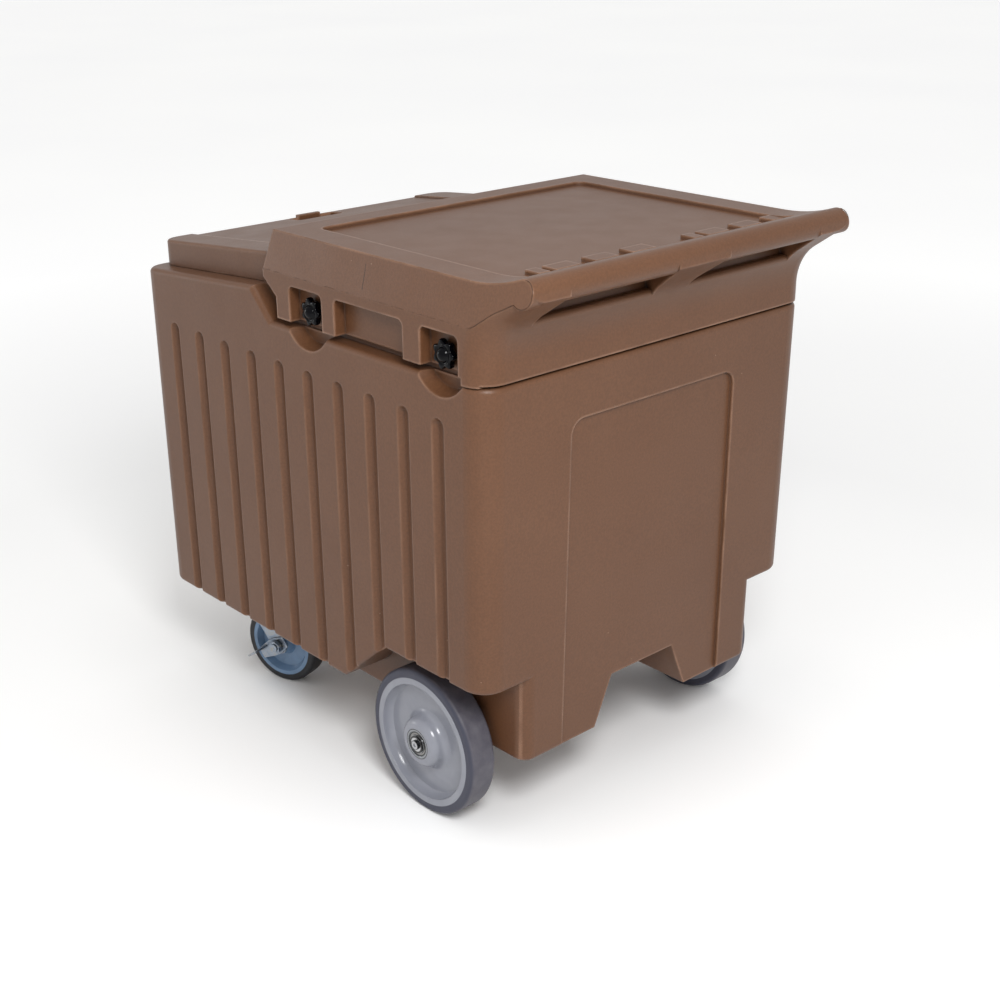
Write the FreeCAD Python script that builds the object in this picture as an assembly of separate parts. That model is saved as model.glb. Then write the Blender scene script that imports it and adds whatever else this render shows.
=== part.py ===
import FreeCAD, Part
import math
import os

# A mobile ice bin: an insulated moulded bin on two rear wheels and two swivel casters,
# with a fixed rear hood that carries the push handle and a sloping front lid that
# slides back under the hood. Millimetres, +Z up, +Y towards the push handle, +X to the
# right hand of a person who pushes, origin on the floor below the middle of the box.

V = FreeCAD.Vector

# Overall sizes
overall_length = 806.0
overall_width = 584.0
deck_height = 743.0
crest_rise = 15.0

# Clearances that many pieces share
overrun = 20.0
seat_gap = 0.3
shaft_gap = 0.05
turn_gap = 1.0
edge_reach = 1.0

# Rear wheels and axle
rear_wheel_diameter = 203.0
rear_wheel_width = 41.0
rear_wheel_inset = 19.0
rear_wheel_arch_gap = 25.0
axle_setback = 152.0
axle_diameter = 22.0
journal_diameter = 20.0

# Moulded bin
skin = 4.5
rim_below_deck = 120.0
front_rim_rise = 18.0
lid_slope_share = 0.08
side_wall = 45.0
corner_radius = 34.0
handle_reach = 68.0
rear_draft_share = 0.018
rim_round = 7.0
foot_round = 7.0
swivel_head_height = 25.0
caster_wheel_diameter = 127.0
arch_front_setback = 292.0
arch_length = 90.0
notch_setback = 415.0
notch_length = 40.0
neck_ledge = 25.0
neck_rear_setback = 16.0
well_floor_front = 205.0
well_floor_rear = 262.0
well_corner_radius = 45.0
well_floor_round = 22.0

# Keel with its lengthwise channel
keel_inset = 70.0
keel_above_axle_line = 7.8
keel_front_setback = 403.0
keel_ramp_length = 45.0
keel_corner_radius = 18.0
channel_foot_half_width = 89.0
channel_top_half_width = 59.0
channel_depth = 69.5

# Raised and sunk forms of the bin's faces
flute_count = 10
flute_end_margin = 80.0
flute_width = 22.0
flute_floor_width = 11.0
flute_depth = 8.0
flute_top_below_rim = 49.0
rear_panel_inset = 143.0
rear_panel_foot_inset = 138.0
rear_panel_top_below_rim = 67.0
rear_panel_depth = 5.0
rear_panel_corner = 20.0
scallop_radius = 49.0
scallop_inner_radius = 43.0
scallop_depth = 21.0

# Hood
hood_wall = 5.0
deck_inset = 12.0
crease_below_deck = 52.0
hood_top_setback = 411.0
hood_nose_overhang = 12.0
hood_skirt_tuck = 15.0
nose_foot_below_deck = 61.0
nose_chamfer_height = 22.0
skirt_foot_gap = 9.0
rear_foot_gap = 2.5
rear_foot_land = 14.0
rear_block_length = 37.0
recess_depth = 17.0
recess_top_below_deck = 64.0
recess_round = 8.0
mouth_below_deck = 29.0
hood_inner_gap = 4.0
inner_crease_below_deck = 57.0

# Handle
grip_bar_diameter = 33.0
deck_flat_end_setback = 102.0
flare_start_below_deck = 93.0
flare_angle = 55.0
pocket_sill_below_deck = 46.0
pocket_sill_round = 5.0
pocket_lean = 8.0
grip_plate = 9.0
end_strut_width = 62.0
end_strut_grip_width = 70.0
middle_strut_half_width = 28.0
middle_strut_grip_half_width = 46.0

# Tray and lugs on the deck
tray_inset = 56.0
tray_front_setback = 375.0
tray_rear_setback = 53.0
tray_depth = 5.0
tray_corner = 14.0
lug_depth = 24.0
lug_rear_setback = 70.0
lug_height = 5.0
lug_group_start_share = 0.43
lug_group_shift_share = 0.56
lug_pitch_share = 0.135
lug_width_share = 0.083
small_lug_width_share = 0.036
small_lug_gap_share = 0.02

# Hood knobs
front_knob_setback = 333.0
rear_knob_setback = 75.0
knob_below_deck = 93.0
knob_diameter = 38.0
knob_lobe_count = 7
knob_lobe_diameter = 10.0
knob_thickness = 12.0
knob_boss_length = 1.5
knob_stud_depth = 10.0
knob_boss_diameter = 20.0
knob_cap_diameter = 23.0
knob_cap_rise = 2.2
stud_diameter = 8.0
insert_diameter = 12.0
insert_length = 14.0
insert_collar = 3.0
front_window_width = 69.0
rear_window_width = 67.0
middle_window_width = 133.0
middle_window_centre_setback = 206.5

# Sliding lid
lid_inset = 29.0
lid_front_setback = 8.0
lid_under_hood = 24.0
lid_front_thickness = 33.0
lid_top_slope_share = 0.095
lid_front_round = 30.0
lid_rear_round = 12.0
lid_edge_round = 4.0
lid_skin = 4.0
lid_border_width = 52.0
lid_border_rise = 3.0
scoop_half_width = 41.0
scoop_length = 34.0
scoop_depth = 6.0
grip_lip_half_width = 20.5
grip_lip_thickness = 9.0
grip_lip_rise = 3.0
grip_lip_height = 16.0

# Drain shelf
shelf_height = 276.0
shelf_thickness = 6.0
shelf_gap = 3.0
shelf_slot_rows = 10
shelf_slot_columns = 3
shelf_slot_web = 36.0
shelf_slot_width = 12.0
shelf_margin = 40.0
shelf_foot_diameter = 22.0

# Drain tap
tap_height = 206.0
tap_pocket_half_width = 48.0
tap_pocket_height = 92.0
tap_pocket_depth = 28.0
tap_pocket_floor_drop = 46.0
sump_half_width = 34.0
sump_length = 56.0
sump_floor_drop = 17.0
tap_bore_diameter = 12.0
tap_tube_diameter = 20.0
tap_flange_diameter = 30.0
tap_flange_thickness = 4.0
tap_body_diameter = 22.0
tap_body_length = 18.5
tap_spout_diameter = 16.0
tap_spout_drop = 26.0
tap_spout_wall = 2.5
tap_lever_thickness = 3.5
tap_lever_length = 34.0
tap_lever_width = 10.0
tap_stem_diameter = 8.0
tap_stem_depth = 3.5
tap_gasket_thickness = 2.0
tap_nut_across = 30.0
tap_nut_thickness = 7.0

# Wheel hub, tyre and bearing sections
tyre_thickness = 12.0
tyre_shoulder = 6.0
hub_lip_width = 9.0
hub_dish_depth = 14.0
hub_dish_lip = 5.0
hub_web = 7.0
hub_boss_proud = 7.0
hub_heel_proud = 2.0
hub_boss_face_radius = 27.0
hub_boss_root_radius = 43.0
hub_boss_swell = 1.8
bearing_outer_diameter = 42.0
bearing_width = 12.0
bearing_race = 3.0
bearing_shield_recess = 1.0
bearing_shield = 2.0
end_washer_diameter = 24.0
end_washer_thickness = 2.0
end_screw_head_diameter = 13.0
end_screw_head_height = 2.6
end_screw_socket_across = 5.0
end_screw_diameter = 8.0
end_screw_length = 20.0

# Axle straps
strap_inset = 137.0
strap_width = 30.0
strap_thickness = 3.0
strap_flange = 24.0
strap_screw_diameter = 8.0
strap_screw_head_diameter = 14.0
strap_screw_head_height = 4.0
strap_screw_length = 30.0

# Casters
caster_inset = 90.0
caster_setback = 123.0
caster_turn_angle = 17.0
caster_trail = 38.0
caster_wheel_width = 32.0
caster_tyre_thickness = 11.0
caster_plate_length = 95.0
caster_plate_width = 67.0
caster_plate_thickness = 3.0
caster_bolt_spacing_long = 75.0
caster_bolt_spacing_wide = 45.0
caster_bolt_diameter = 8.0
caster_bolt_length = 26.0
caster_bolt_across = 13.0
caster_bolt_head = 5.0
race_diameter = 60.0
race_height = 7.0
fork_crown_diameter = 66.0
fork_plate = 3.0
fork_inner_gap = 3.0
fork_top_length = 56.0
fork_foot_radius = 15.0
kingpin_diameter = 12.0
kingpin_head_diameter = 20.0
kingpin_head_height = 5.0
crown_height = 7.0
wheel_bolt_diameter = 12.0
wheel_bolt_head = 7.0
wheel_bolt_end = 2.0
wheel_nut_across = 18.0
wheel_nut_thickness = 8.0
caster_tyre_shoulder = 5.0
caster_hub_lip = 6.0
caster_hub_web = 12.0
caster_hub_boss_radius = 15.0

# Brake levers
lever_plate = 2.5
lever_eye_radius = 13.0
lever_back_length = 18.0
lever_arm_length = 38.0
lever_arm_width = 17.0
lever_arm_drop_angle = 33.0
pedal_reach = 30.0
pedal_length = 18.0

# Places that follow from the sizes above
front_y = -overall_length / 2
rear_y = overall_length / 2
half_width = overall_width / 2
rear_wall_y = rear_y - handle_reach
rim_height = deck_height - rim_below_deck
front_rim_height = rim_height + front_rim_rise
axle_y = rear_wall_y - axle_setback
axle_z = rear_wheel_diameter / 2
keel_z = axle_z + keel_above_axle_line
keel_half_width = half_width - keel_inset
rear_wheel_outer_face_x = half_width - rear_wheel_inset
rear_panel_half_width = half_width - rear_panel_inset
rear_panel_foot_half_width = half_width - rear_panel_foot_inset
front_zone_z = caster_wheel_diameter + swivel_head_height
rear_zone_z = rear_wheel_diameter + rear_wheel_arch_gap
arch_rear_y = rear_wall_y - arch_front_setback + arch_length
arch_front_y = rear_wall_y - arch_front_setback
notch_high_y = rear_wall_y - notch_setback - notch_length
notch_low_y = rear_wall_y - notch_setback
neck_half_width = half_width - neck_ledge
well_half_width = half_width - side_wall
neck_rear_y = rear_wall_y - neck_rear_setback
well_rear_y = neck_rear_y - (side_wall - neck_ledge)
well_front_y = front_y + side_wall
front_knob_y = rear_wall_y - front_knob_setback
rear_knob_y = rear_wall_y - rear_knob_setback
knob_height = deck_height - knob_below_deck
deck_half_width = half_width - deck_inset
hood_top_front_y = rear_wall_y - hood_top_setback
hood_nose_y = hood_top_front_y - hood_nose_overhang
hood_skirt_front_y = hood_top_front_y + hood_skirt_tuck
crease_height = deck_height - crease_below_deck
inner_crease_height = deck_height - inner_crease_below_deck
nose_foot_height = deck_height - nose_foot_below_deck
recess_top_height = deck_height - recess_top_below_deck
mouth_height = deck_height - mouth_below_deck
flare_start_height = deck_height - flare_start_below_deck
pocket_sill_height = deck_height - pocket_sill_below_deck
end_strut_inner_x = half_width - end_strut_width
end_strut_grip_x = half_width - end_strut_grip_width
tray_half_width = half_width - tray_inset
lid_half_width = half_width - lid_inset
strap_centre_x = half_width - strap_inset
caster_x = half_width - caster_inset
skirt_foot_z = rim_height + skirt_foot_gap
window_floor_x = half_width - recess_depth
inner_half_width = neck_half_width + hood_inner_gap
grip_radius = grip_bar_diameter / 2
grip_y = rear_y - grip_radius
grip_z = deck_height + crest_rise - grip_radius
deck_flat_end_y = rear_y - deck_flat_end_setback
tray_floor_z = deck_height - tray_depth
lid_front_y = front_y + lid_front_setback
lid_rear_y = hood_top_front_y + lid_under_hood
kingpin_y = front_y + caster_setback
caster_axle_z = caster_wheel_diameter / 2


def outline_wire(points, place):
    """Closed wire; a point led by a third number ends an arc with that sagitta to its left."""
    edges = []
    a0, b0 = points[-1][-2:]
    for point in points:
        a1, b1 = point[-2:]
        if len(point) == 3:
            reach = math.hypot(a1 - a0, b1 - b0)
            shift = point[0] / reach
            middle = place((a0 + a1) / 2 - shift * (b1 - b0), (b0 + b1) / 2 + shift * (a1 - a0))
            edges.append(Part.Arc(place(a0, b0), middle, place(a1, b1)).toShape())
        else:
            edges.append(Part.makeLine(place(a0, b0), place(a1, b1)))
        a0, b0 = a1, b1
    return Part.Wire(edges)


def profile_x(points, x0, x1):
    """Solid from a closed outline of (y, z) points, between two X places."""
    return Part.Face(outline_wire(points, lambda y, z: V(x0, y, z))).extrude(V(x1 - x0, 0, 0))


def profile_y(points, y0, y1):
    """Solid from a closed outline of (x, z) points, between two Y places."""
    return Part.Face(outline_wire(points, lambda x, z: V(x, y0, z))).extrude(V(0, y1 - y0, 0))


def profile_z(points, z0, z1):
    """Solid from a closed outline of (x, y) points, between two heights."""
    return Part.Face(outline_wire(points, lambda x, y: V(x, y, z0))).extrude(V(0, 0, z1 - z0))


def block(x0, x1, y0, y1, z0, z1):
    return Part.makeBox(x1 - x0, y1 - y0, z1 - z0, V(x0, y0, z0))


def rod_x(radius, x0, x1, y, z):
    return Part.makeCylinder(radius, x1 - x0, V(x0, y, z), V(1, 0, 0))


def rod_y(radius, y0, y1, x, z):
    return Part.makeCylinder(radius, y1 - y0, V(x, y0, z), V(0, 1, 0))


def rod_z(radius, z0, z1, x, y):
    return Part.makeCylinder(radius, z1 - z0, V(x, y, z0), V(0, 0, 1))


def turned_x(points, y=0, z=0):
    """Solid turned about an X axis from a closed outline of (x, radius) points."""
    face = Part.Face(outline_wire(points, lambda x, r: V(x, 0, r)))
    solid = face.revolve(V(0, 0, 0), V(1, 0, 0), 360)
    solid.translate(V(0, y, z))
    return solid


def turned_z(points):
    """Solid turned about the Z axis from a closed outline of (radius, z) points."""
    return Part.Face(outline_wire(points, lambda r, z: V(r, 0, z))).revolve(V(0, 0, 0), V(0, 0, 1), 360)


def hexagon(across, thickness):
    """Hexagonal prism on the Z axis, standing on the XY plane."""
    radius = across / math.sqrt(3)
    corners = [(radius * math.cos(math.radians(a)), radius * math.sin(math.radians(a))) for a in range(0, 360, 60)]
    return profile_z(corners, 0, thickness)


def mirrored(shape):
    """The same shape on the other side of the middle plane."""
    return shape.mirror(V(0, 0, 0), V(1, 0, 0))


def both_sides(shape):
    return shape.fuse(mirrored(shape))


def rounded(shape, radius, chosen):
    """Rounds the edges whose middle point is chosen."""
    edges = [e for e in shape.Edges if chosen(e.CenterOfMass, e)]
    return shape.makeFillet(radius, edges)


def near(a, b, within=edge_reach):
    return abs(a - b) <= within


def upright(edge):
    """True for a straight edge that runs mainly along Z."""
    low, high = edge.Vertexes[0].Point, edge.Vertexes[-1].Point
    return abs(high.z - low.z) > abs(high.x - low.x) + abs(high.y - low.y)


def rear_plane_y(z):
    """The drafted rear face of the bin at a height."""
    return rear_wall_y - rear_draft_share * (rim_height - z)


def lid_plane_z(y):
    """The sloping plane on which the lid rests and slides."""
    return front_rim_height + lid_slope_share * (y - front_y)


# Moulded bin


def main_block():
    """The upper box of the bin, from its undersides to the rim."""
    outline = [
        (front_y, front_zone_z),
        (arch_front_y, front_zone_z),
        (arch_rear_y, rear_zone_z),
        (rear_plane_y(rear_zone_z), rear_zone_z),
        (rear_wall_y, rim_height),
        (notch_low_y, rim_height),
        (notch_high_y, lid_plane_z(notch_high_y)),
        (front_y, lid_plane_z(front_y)),
    ]
    solid = profile_x(outline, -half_width, half_width)
    solid = rounded(solid, corner_radius, lambda c, e: upright(e) and abs(c.x) > neck_half_width
                    and (near(c.y, front_y) or c.y > axle_y))
    solid = rounded(solid, rim_round, lambda c, e: c.z > rim_height - rim_round
                    and (abs(c.x) > neck_half_width or near(c.y, front_y, corner_radius)
                         or near(c.y, rear_wall_y, corner_radius)))
    return rounded(solid, foot_round, lambda c, e: c.z < rear_zone_z + foot_round
                   and (abs(c.x) > keel_half_width + foot_round or near(c.y, front_y, corner_radius)
                        or near(c.y, rear_wall_y, corner_radius)) and not crosswise(e, c))


def crosswise(edge, centre):
    """True for the long cross edges of the arch, which stay sharp."""
    return edge.Length > 2 * keel_half_width and centre.y > well_front_y and centre.y < axle_y


def keel():
    outline = [
        (rear_wall_y - keel_front_setback, front_zone_z),
        (rear_wall_y - keel_front_setback + keel_ramp_length, keel_z),
        (rear_plane_y(keel_z), keel_z),
        (rear_plane_y(rear_zone_z + overrun), rear_zone_z + overrun),
        (rear_wall_y - keel_front_setback, rear_zone_z + overrun),
    ]
    solid = profile_x(outline, -keel_half_width, keel_half_width)
    solid = rounded(solid, keel_corner_radius, lambda c, e: upright(e) and c.y > axle_y)
    return rounded(solid, foot_round, lambda c, e: c.z < keel_z + turn_gap
                   and (near(abs(c.x), keel_half_width, keel_corner_radius) or c.y > axle_y + axle_setback / 2))


def channel(grow):
    """The lengthwise channel between the two legs of the keel."""
    top = keel_z + channel_depth + grow
    outline = [
        (-channel_foot_half_width - grow, keel_z - overrun),
        (-channel_foot_half_width - grow, keel_z),
        (-channel_top_half_width - grow, top),
        (channel_top_half_width + grow, top),
        (channel_foot_half_width + grow, keel_z),
        (channel_foot_half_width + grow, keel_z - overrun),
    ]
    return profile_y(outline, rear_wall_y - keel_front_setback - overrun, rear_wall_y + overrun)


def well(grow):
    """The ice well, or the well with its skin when grown."""
    front = well_front_y - grow
    rear = well_rear_y + grow
    top = deck_height
    outline = [
        (front, well_floor_front - grow),
        (rear, well_floor_rear - grow),
        (rear, top),
        (front, top),
    ]
    half = well_half_width + grow
    solid = profile_x(outline, -half, half)
    solid = rounded(solid, well_corner_radius, lambda c, e: upright(e))
    return rounded(solid, well_floor_round, lambda c, e: c.z < well_floor_rear + well_floor_round
                   and not upright(e))


def sump(grow):
    """The low place in the well floor behind the drain."""
    return block(-sump_half_width - grow, sump_half_width + grow,
                 well_front_y - grow, well_front_y + sump_length + grow,
                 well_floor_front - sump_floor_drop - grow, well_floor_rear)


def neck():
    """The raised inner wall, under the hood, whose top edges carry the sliding lid."""
    front = notch_high_y - overrun
    outline = [
        (front, rim_height - rim_round),
        (neck_rear_y, rim_height - rim_round),
        (neck_rear_y, lid_plane_z(neck_rear_y)),
        (front, lid_plane_z(front)),
    ]
    solid = profile_x(outline, -neck_half_width, neck_half_width)
    return rounded(solid, neck_ledge, lambda c, e: upright(e) and near(c.y, neck_rear_y))


def axle_groove(grow):
    """The groove across the keel in which the rear axle lies, grown by the skin for the foam."""
    return rod_x(axle_diameter / 2 + seat_gap + grow, -keel_half_width - overrun, keel_half_width + overrun,
                 axle_y, axle_z)


def flute_outline(x, width, top_drop):
    """Outline of a flute, round above and open below, in a plane of constant X."""
    radius = width / 2
    top = rim_height - flute_top_below_rim - radius - top_drop
    points = [(-radius, keel_z), (-radius, top), (radius, radius, top), (radius, keel_z)]
    return outline_wire(points, lambda y, z: V(x, y, z))


def flute():
    """One tapered vertical flute of the right side, at Y zero."""
    slope = (flute_width - flute_floor_width) / flute_depth
    outer = flute_outline(half_width + flute_depth, flute_width + slope * flute_depth, -slope * flute_depth / 2)
    inner = flute_outline(half_width - flute_depth, flute_floor_width, slope * flute_depth / 2)
    return Part.makeLoft([outer, inner], True, True)


def flutes():
    first = front_y + flute_end_margin
    pitch = (rear_wall_y - front_y - 2 * flute_end_margin) / (flute_count - 1)
    one = flute()
    row = []
    for i in range(flute_count):
        copy = one.copy()
        copy.translate(V(0, first + i * pitch, 0))
        row.append(copy)
        row.append(mirrored(copy))
    return row


def rear_panel():
    """The shallow sunk panel of the rear face, which runs down to the feet."""
    top = rim_height - rear_panel_top_below_rim
    foot = keel_z - overrun
    outline = [
        (-rear_panel_foot_half_width, foot),
        (-rear_panel_half_width, top),
        (rear_panel_half_width, top),
        (rear_panel_foot_half_width, foot),
    ]
    solid = profile_y(outline, axle_y, rear_wall_y + overrun)
    solid = rounded(solid, rear_panel_corner, lambda c, e: near(c.z, top) and near(abs(c.x), rear_panel_half_width))
    slab = [
        (rear_plane_y(foot) - rear_panel_depth, foot),
        (rear_plane_y(top) - rear_panel_depth, top),
        (rear_wall_y + overrun, top),
        (rear_wall_y + overrun, foot),
    ]
    return solid.common(profile_x(slab, -half_width, half_width))


def scallops():
    """Finger room below each knob, a short cone on the knob's axis."""
    cuts = []
    for y in (front_knob_y, rear_knob_y):
        spread = (scallop_radius - scallop_inner_radius) / scallop_depth
        outer = scallop_radius + spread * overrun
        cone = Part.makeCone(scallop_inner_radius, outer, scallop_depth + overrun,
                             V(half_width - scallop_depth, y, knob_height), V(1, 0, 0))
        cuts += [cone, mirrored(cone)]
    return cuts


def tap_pocket():
    """The open recess of the front face in which the drain tap sits."""
    low = tap_height - tap_pocket_floor_drop
    solid = block(-tap_pocket_half_width, tap_pocket_half_width,
                  front_y - overrun, front_y + tap_pocket_depth, low, low + tap_pocket_height)
    return rounded(solid, skin * 2, lambda c, e: near(abs(c.x), tap_pocket_half_width)
                   and (near(c.z, low) or near(c.z, low + tap_pocket_height)))


def drain_boss():
    """The solid plastic between the tap pocket and the sump, where the foam stops."""
    return block(-tap_pocket_half_width - skin, tap_pocket_half_width + skin,
                 front_y, well_front_y + skin, tap_height - tap_pocket_floor_drop - skin,
                 tap_height - tap_pocket_floor_drop + tap_pocket_height + skin)


def foam_core():
    """The insulating foam between the outer and the inner skin."""
    top = rim_height - neck_ledge
    side = half_width - flute_depth - skin
    rear = rear_panel_depth + skin
    outline = [
        (front_y + skin, front_zone_z + skin),
        (arch_front_y - skin, front_zone_z + skin),
        (arch_rear_y - skin, rear_zone_z + skin),
        (rear_plane_y(rear_zone_z) - rear, rear_zone_z + skin),
        (rear_plane_y(top) - rear, top),
        (front_y + skin, top),
    ]
    solid = profile_x(outline, -side, side)
    solid = rounded(solid, corner_radius - skin, lambda c, e: upright(e) and abs(c.x) > neck_half_width - skin
                    and (near(c.y, front_y + skin) or c.y > axle_y))
    front = rear_wall_y - keel_front_setback + skin
    lower = [
        (front, front_zone_z + skin + overrun),
        (front, front_zone_z),
        (front + keel_ramp_length, keel_z + skin),
        (rear_plane_y(keel_z) - rear, keel_z + skin),
        (rear_plane_y(rear_zone_z) - rear, rear_zone_z + skin + overrun),
    ]
    half = keel_half_width - skin
    solid = solid.fuse(profile_x(lower, -half, half))
    cuts = [channel(skin), well(skin), sump(skin), drain_boss(), axle_groove(skin)]
    for cut in cuts + scallop_guards() + fastener_bosses():
        solid = solid.cut(cut)
    return solid.removeSplitter()


def scallop_guards():
    """What the foam leaves free behind each scallop, so that the skin stays closed."""
    guards = []
    for y in (front_knob_y, rear_knob_y):
        guard = rod_x(scallop_radius + skin, half_width - scallop_depth - skin, half_width, y, knob_height)
        guards += [guard, mirrored(guard)]
    return guards


def fastener_bosses():
    """Solid plastic round the screws and bolts of the underside, where the foam stops."""
    bosses = [rod_z(strap_screw_diameter / 2 + skin, keel_z, keel_z + strap_screw_length + skin, x, y)
              for x, y in strap_screw_places()]
    bosses += [rod_z(caster_bolt_diameter / 2 + skin, front_zone_z, front_zone_z + caster_bolt_length + skin, x, y)
               for x, y in caster_bolt_places()]
    return bosses


def knob_places():
    return [(side, y) for side in (1, -1) for y in (front_knob_y, rear_knob_y)]


def bin_shell():
    solid = main_block().fuse([keel(), neck()])
    cuts = [channel(0), rear_panel(), well(0), sump(0), tap_pocket(), axle_groove(0), foam_core()]
    cuts += flutes() + scallops()
    cuts.append(rod_y(tap_tube_diameter / 2 + seat_gap, front_y, well_front_y + overrun, 0, tap_height))
    for side, y in knob_places():
        outer = neck_half_width + overrun
        hole = rod_x(insert_diameter / 2, neck_half_width - insert_length, outer, y, knob_height)
        cuts.append(hole if side > 0 else mirrored(hole))
    for x, y in strap_screw_places():
        cuts.append(rod_z(strap_screw_diameter / 2, keel_z - overrun, keel_z + strap_screw_length, x, y))
    for x, y in caster_bolt_places():
        cuts.append(rod_z(caster_bolt_diameter / 2, front_zone_z - overrun, front_zone_z + caster_bolt_length, x, y))
    for cut in cuts:
        solid = solid.cut(cut)
    return solid.removeSplitter()


def strap_screw_places():
    reach = axle_diameter / 2 + strap_thickness + strap_flange / 2
    return [(side * strap_centre_x, axle_y + way * reach) for side in (1, -1) for way in (1, -1)]


def caster_bolt_places():
    """Bolt places of both caster plates, on the bin's underside."""
    wide, long = caster_bolt_spacing_wide / 2, caster_bolt_spacing_long / 2
    return [(side * caster_x + a * wide, kingpin_y + b * long) for side in (1, -1) for a in (1, -1) for b in (1, -1)]


# Drain shelf


def drain_shelf():
    """The slotted false bottom that keeps the ice out of the melt water."""
    front, rear = well_front_y + shelf_gap, well_rear_y - shelf_gap
    half = well_half_width - shelf_gap
    top = shelf_height + shelf_thickness
    plate = block(-half, half, front, rear, shelf_height, top)
    plate = rounded(plate, well_corner_radius, lambda c, e: upright(e))
    pitch_y = (rear - front - 2 * shelf_margin) / (shelf_slot_rows - 1)
    webs = (shelf_slot_columns - 1) * shelf_slot_web
    slot_length = (2 * half - 2 * shelf_margin - webs) / shelf_slot_columns
    pitch_x = slot_length + shelf_slot_web
    for i in range(shelf_slot_columns):
        x = -half + shelf_margin + slot_length / 2 + i * pitch_x
        for j in range(shelf_slot_rows):
            plate = plate.cut(slot_z(x, front + shelf_margin + j * pitch_y, slot_length, shelf_slot_width,
                                     shelf_height, top))
    floor = [
        (well_front_y, well_floor_front),
        (well_rear_y, well_floor_rear),
        (well_rear_y, shelf_height),
        (well_front_y, shelf_height),
    ]
    above_floor = profile_x(floor, -well_half_width, well_half_width)
    for x in (-half + well_corner_radius, half - well_corner_radius):
        for y in (front + well_corner_radius, (front + rear) / 2):
            foot = rod_z(shelf_foot_diameter / 2, well_floor_front, shelf_height, x, y + pitch_y / 2)
            plate = plate.fuse(foot.common(above_floor))
    return plate.removeSplitter()


def slot_z(x, y, length, width, z0, z1):
    """A slot with round ends along X."""
    radius = width / 2
    straight = length / 2 - radius
    solid = block(x - straight, x + straight, y - radius, y + radius, z0, z1)
    for end in (x - straight, x + straight):
        solid = solid.fuse(rod_z(radius, z0, z1, end, y))
    return solid.removeSplitter()


# Hood


def deck_curve():
    """Radius of the hollow rise from the deck to the grip bar, tangent to both."""
    reach = grip_y - deck_flat_end_y
    drop = deck_height - grip_z
    radius = (reach ** 2 + drop ** 2 - grip_radius ** 2) / (2 * (grip_radius - drop))
    angle = math.asin(reach / (radius + grip_radius))
    return radius, angle


def flare_curve():
    """Radius of the flare that leaves the rear face and meets the grip bar smoothly."""
    bend = math.radians(flare_angle)
    rise = (grip_z - flare_start_height) * math.sin(bend)
    return (rise - (grip_y - rear_wall_y) * math.cos(bend) - grip_radius) / (1 - math.cos(bend))


def hood_side():
    """The hood's side outline without its grip bar, across the whole width."""
    lift = deck_height + grip_bar_diameter
    bend = math.radians(flare_angle)
    flare_radius = flare_curve()
    bend_y = rear_wall_y + flare_radius * (1 - math.cos(bend))
    bend_z = flare_start_height + flare_radius * math.sin(bend)
    block_y = rear_wall_y - rear_block_length
    outline = [
        (hood_top_front_y, deck_height),
        (hood_nose_y, crease_height),
        (hood_nose_y, nose_foot_height),
        (hood_skirt_front_y, nose_foot_height - nose_chamfer_height),
        (hood_skirt_front_y, skirt_foot_z),
        (block_y, skirt_foot_z),
        (block_y, rim_height),
        (rear_wall_y - rear_foot_land, rim_height),
        (rear_wall_y - rear_foot_land, rim_height + rear_foot_gap),
        (rear_wall_y, rim_height + rear_foot_gap),
        (rear_wall_y, flare_start_height),
        (flare_radius * (1 - math.cos(bend / 2)), bend_y, bend_z),
        (bend_y + (lift - bend_z) * math.tan(bend), lift),
        (hood_top_front_y, lift),
    ]
    solid = profile_x(outline, -half_width, half_width)
    return rounded(solid, corner_radius,
                   lambda c, e: near(abs(c.x), half_width) and c.y > rear_wall_y - turn_gap
                   and c.z > rim_height + turn_gap and c.z < lift - turn_gap)


def deck_top():
    """Everything below the deck surface, the rise and the crown of the grip bar."""
    radius, angle = deck_curve()
    front = hood_nose_y - overrun
    foot = rim_height - overrun
    crown = grip_z + grip_radius
    outline = [
        (front, deck_height),
        (deck_flat_end_y, deck_height),
        (-radius * (1 - math.cos(angle / 2)), deck_flat_end_y + radius * math.sin(angle),
         deck_height + radius * (1 - math.cos(angle))),
        (grip_radius * (1 - math.cos(angle / 2)), grip_y, crown),
        (grip_radius * (1 - math.cos(math.pi / 4)), grip_y + grip_radius, grip_z),
        (grip_y + grip_radius, foot),
        (front, foot),
    ]
    return profile_x(outline, -half_width - overrun, half_width + overrun)


def facets():
    """The leaning side faces above the crease, as a solid along the whole length."""
    lean = (half_width - deck_half_width) / (deck_height - crease_height)
    top = deck_height + crest_rise + overrun
    top_half = deck_half_width - lean * (top - deck_height)
    outline = [
        (-half_width, rim_height - overrun),
        (-half_width, crease_height),
        (-top_half, top),
        (top_half, top),
        (half_width, crease_height),
        (half_width, rim_height - overrun),
    ]
    return profile_y(outline, hood_nose_y - 2 * overrun, rear_y + overrun)


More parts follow.
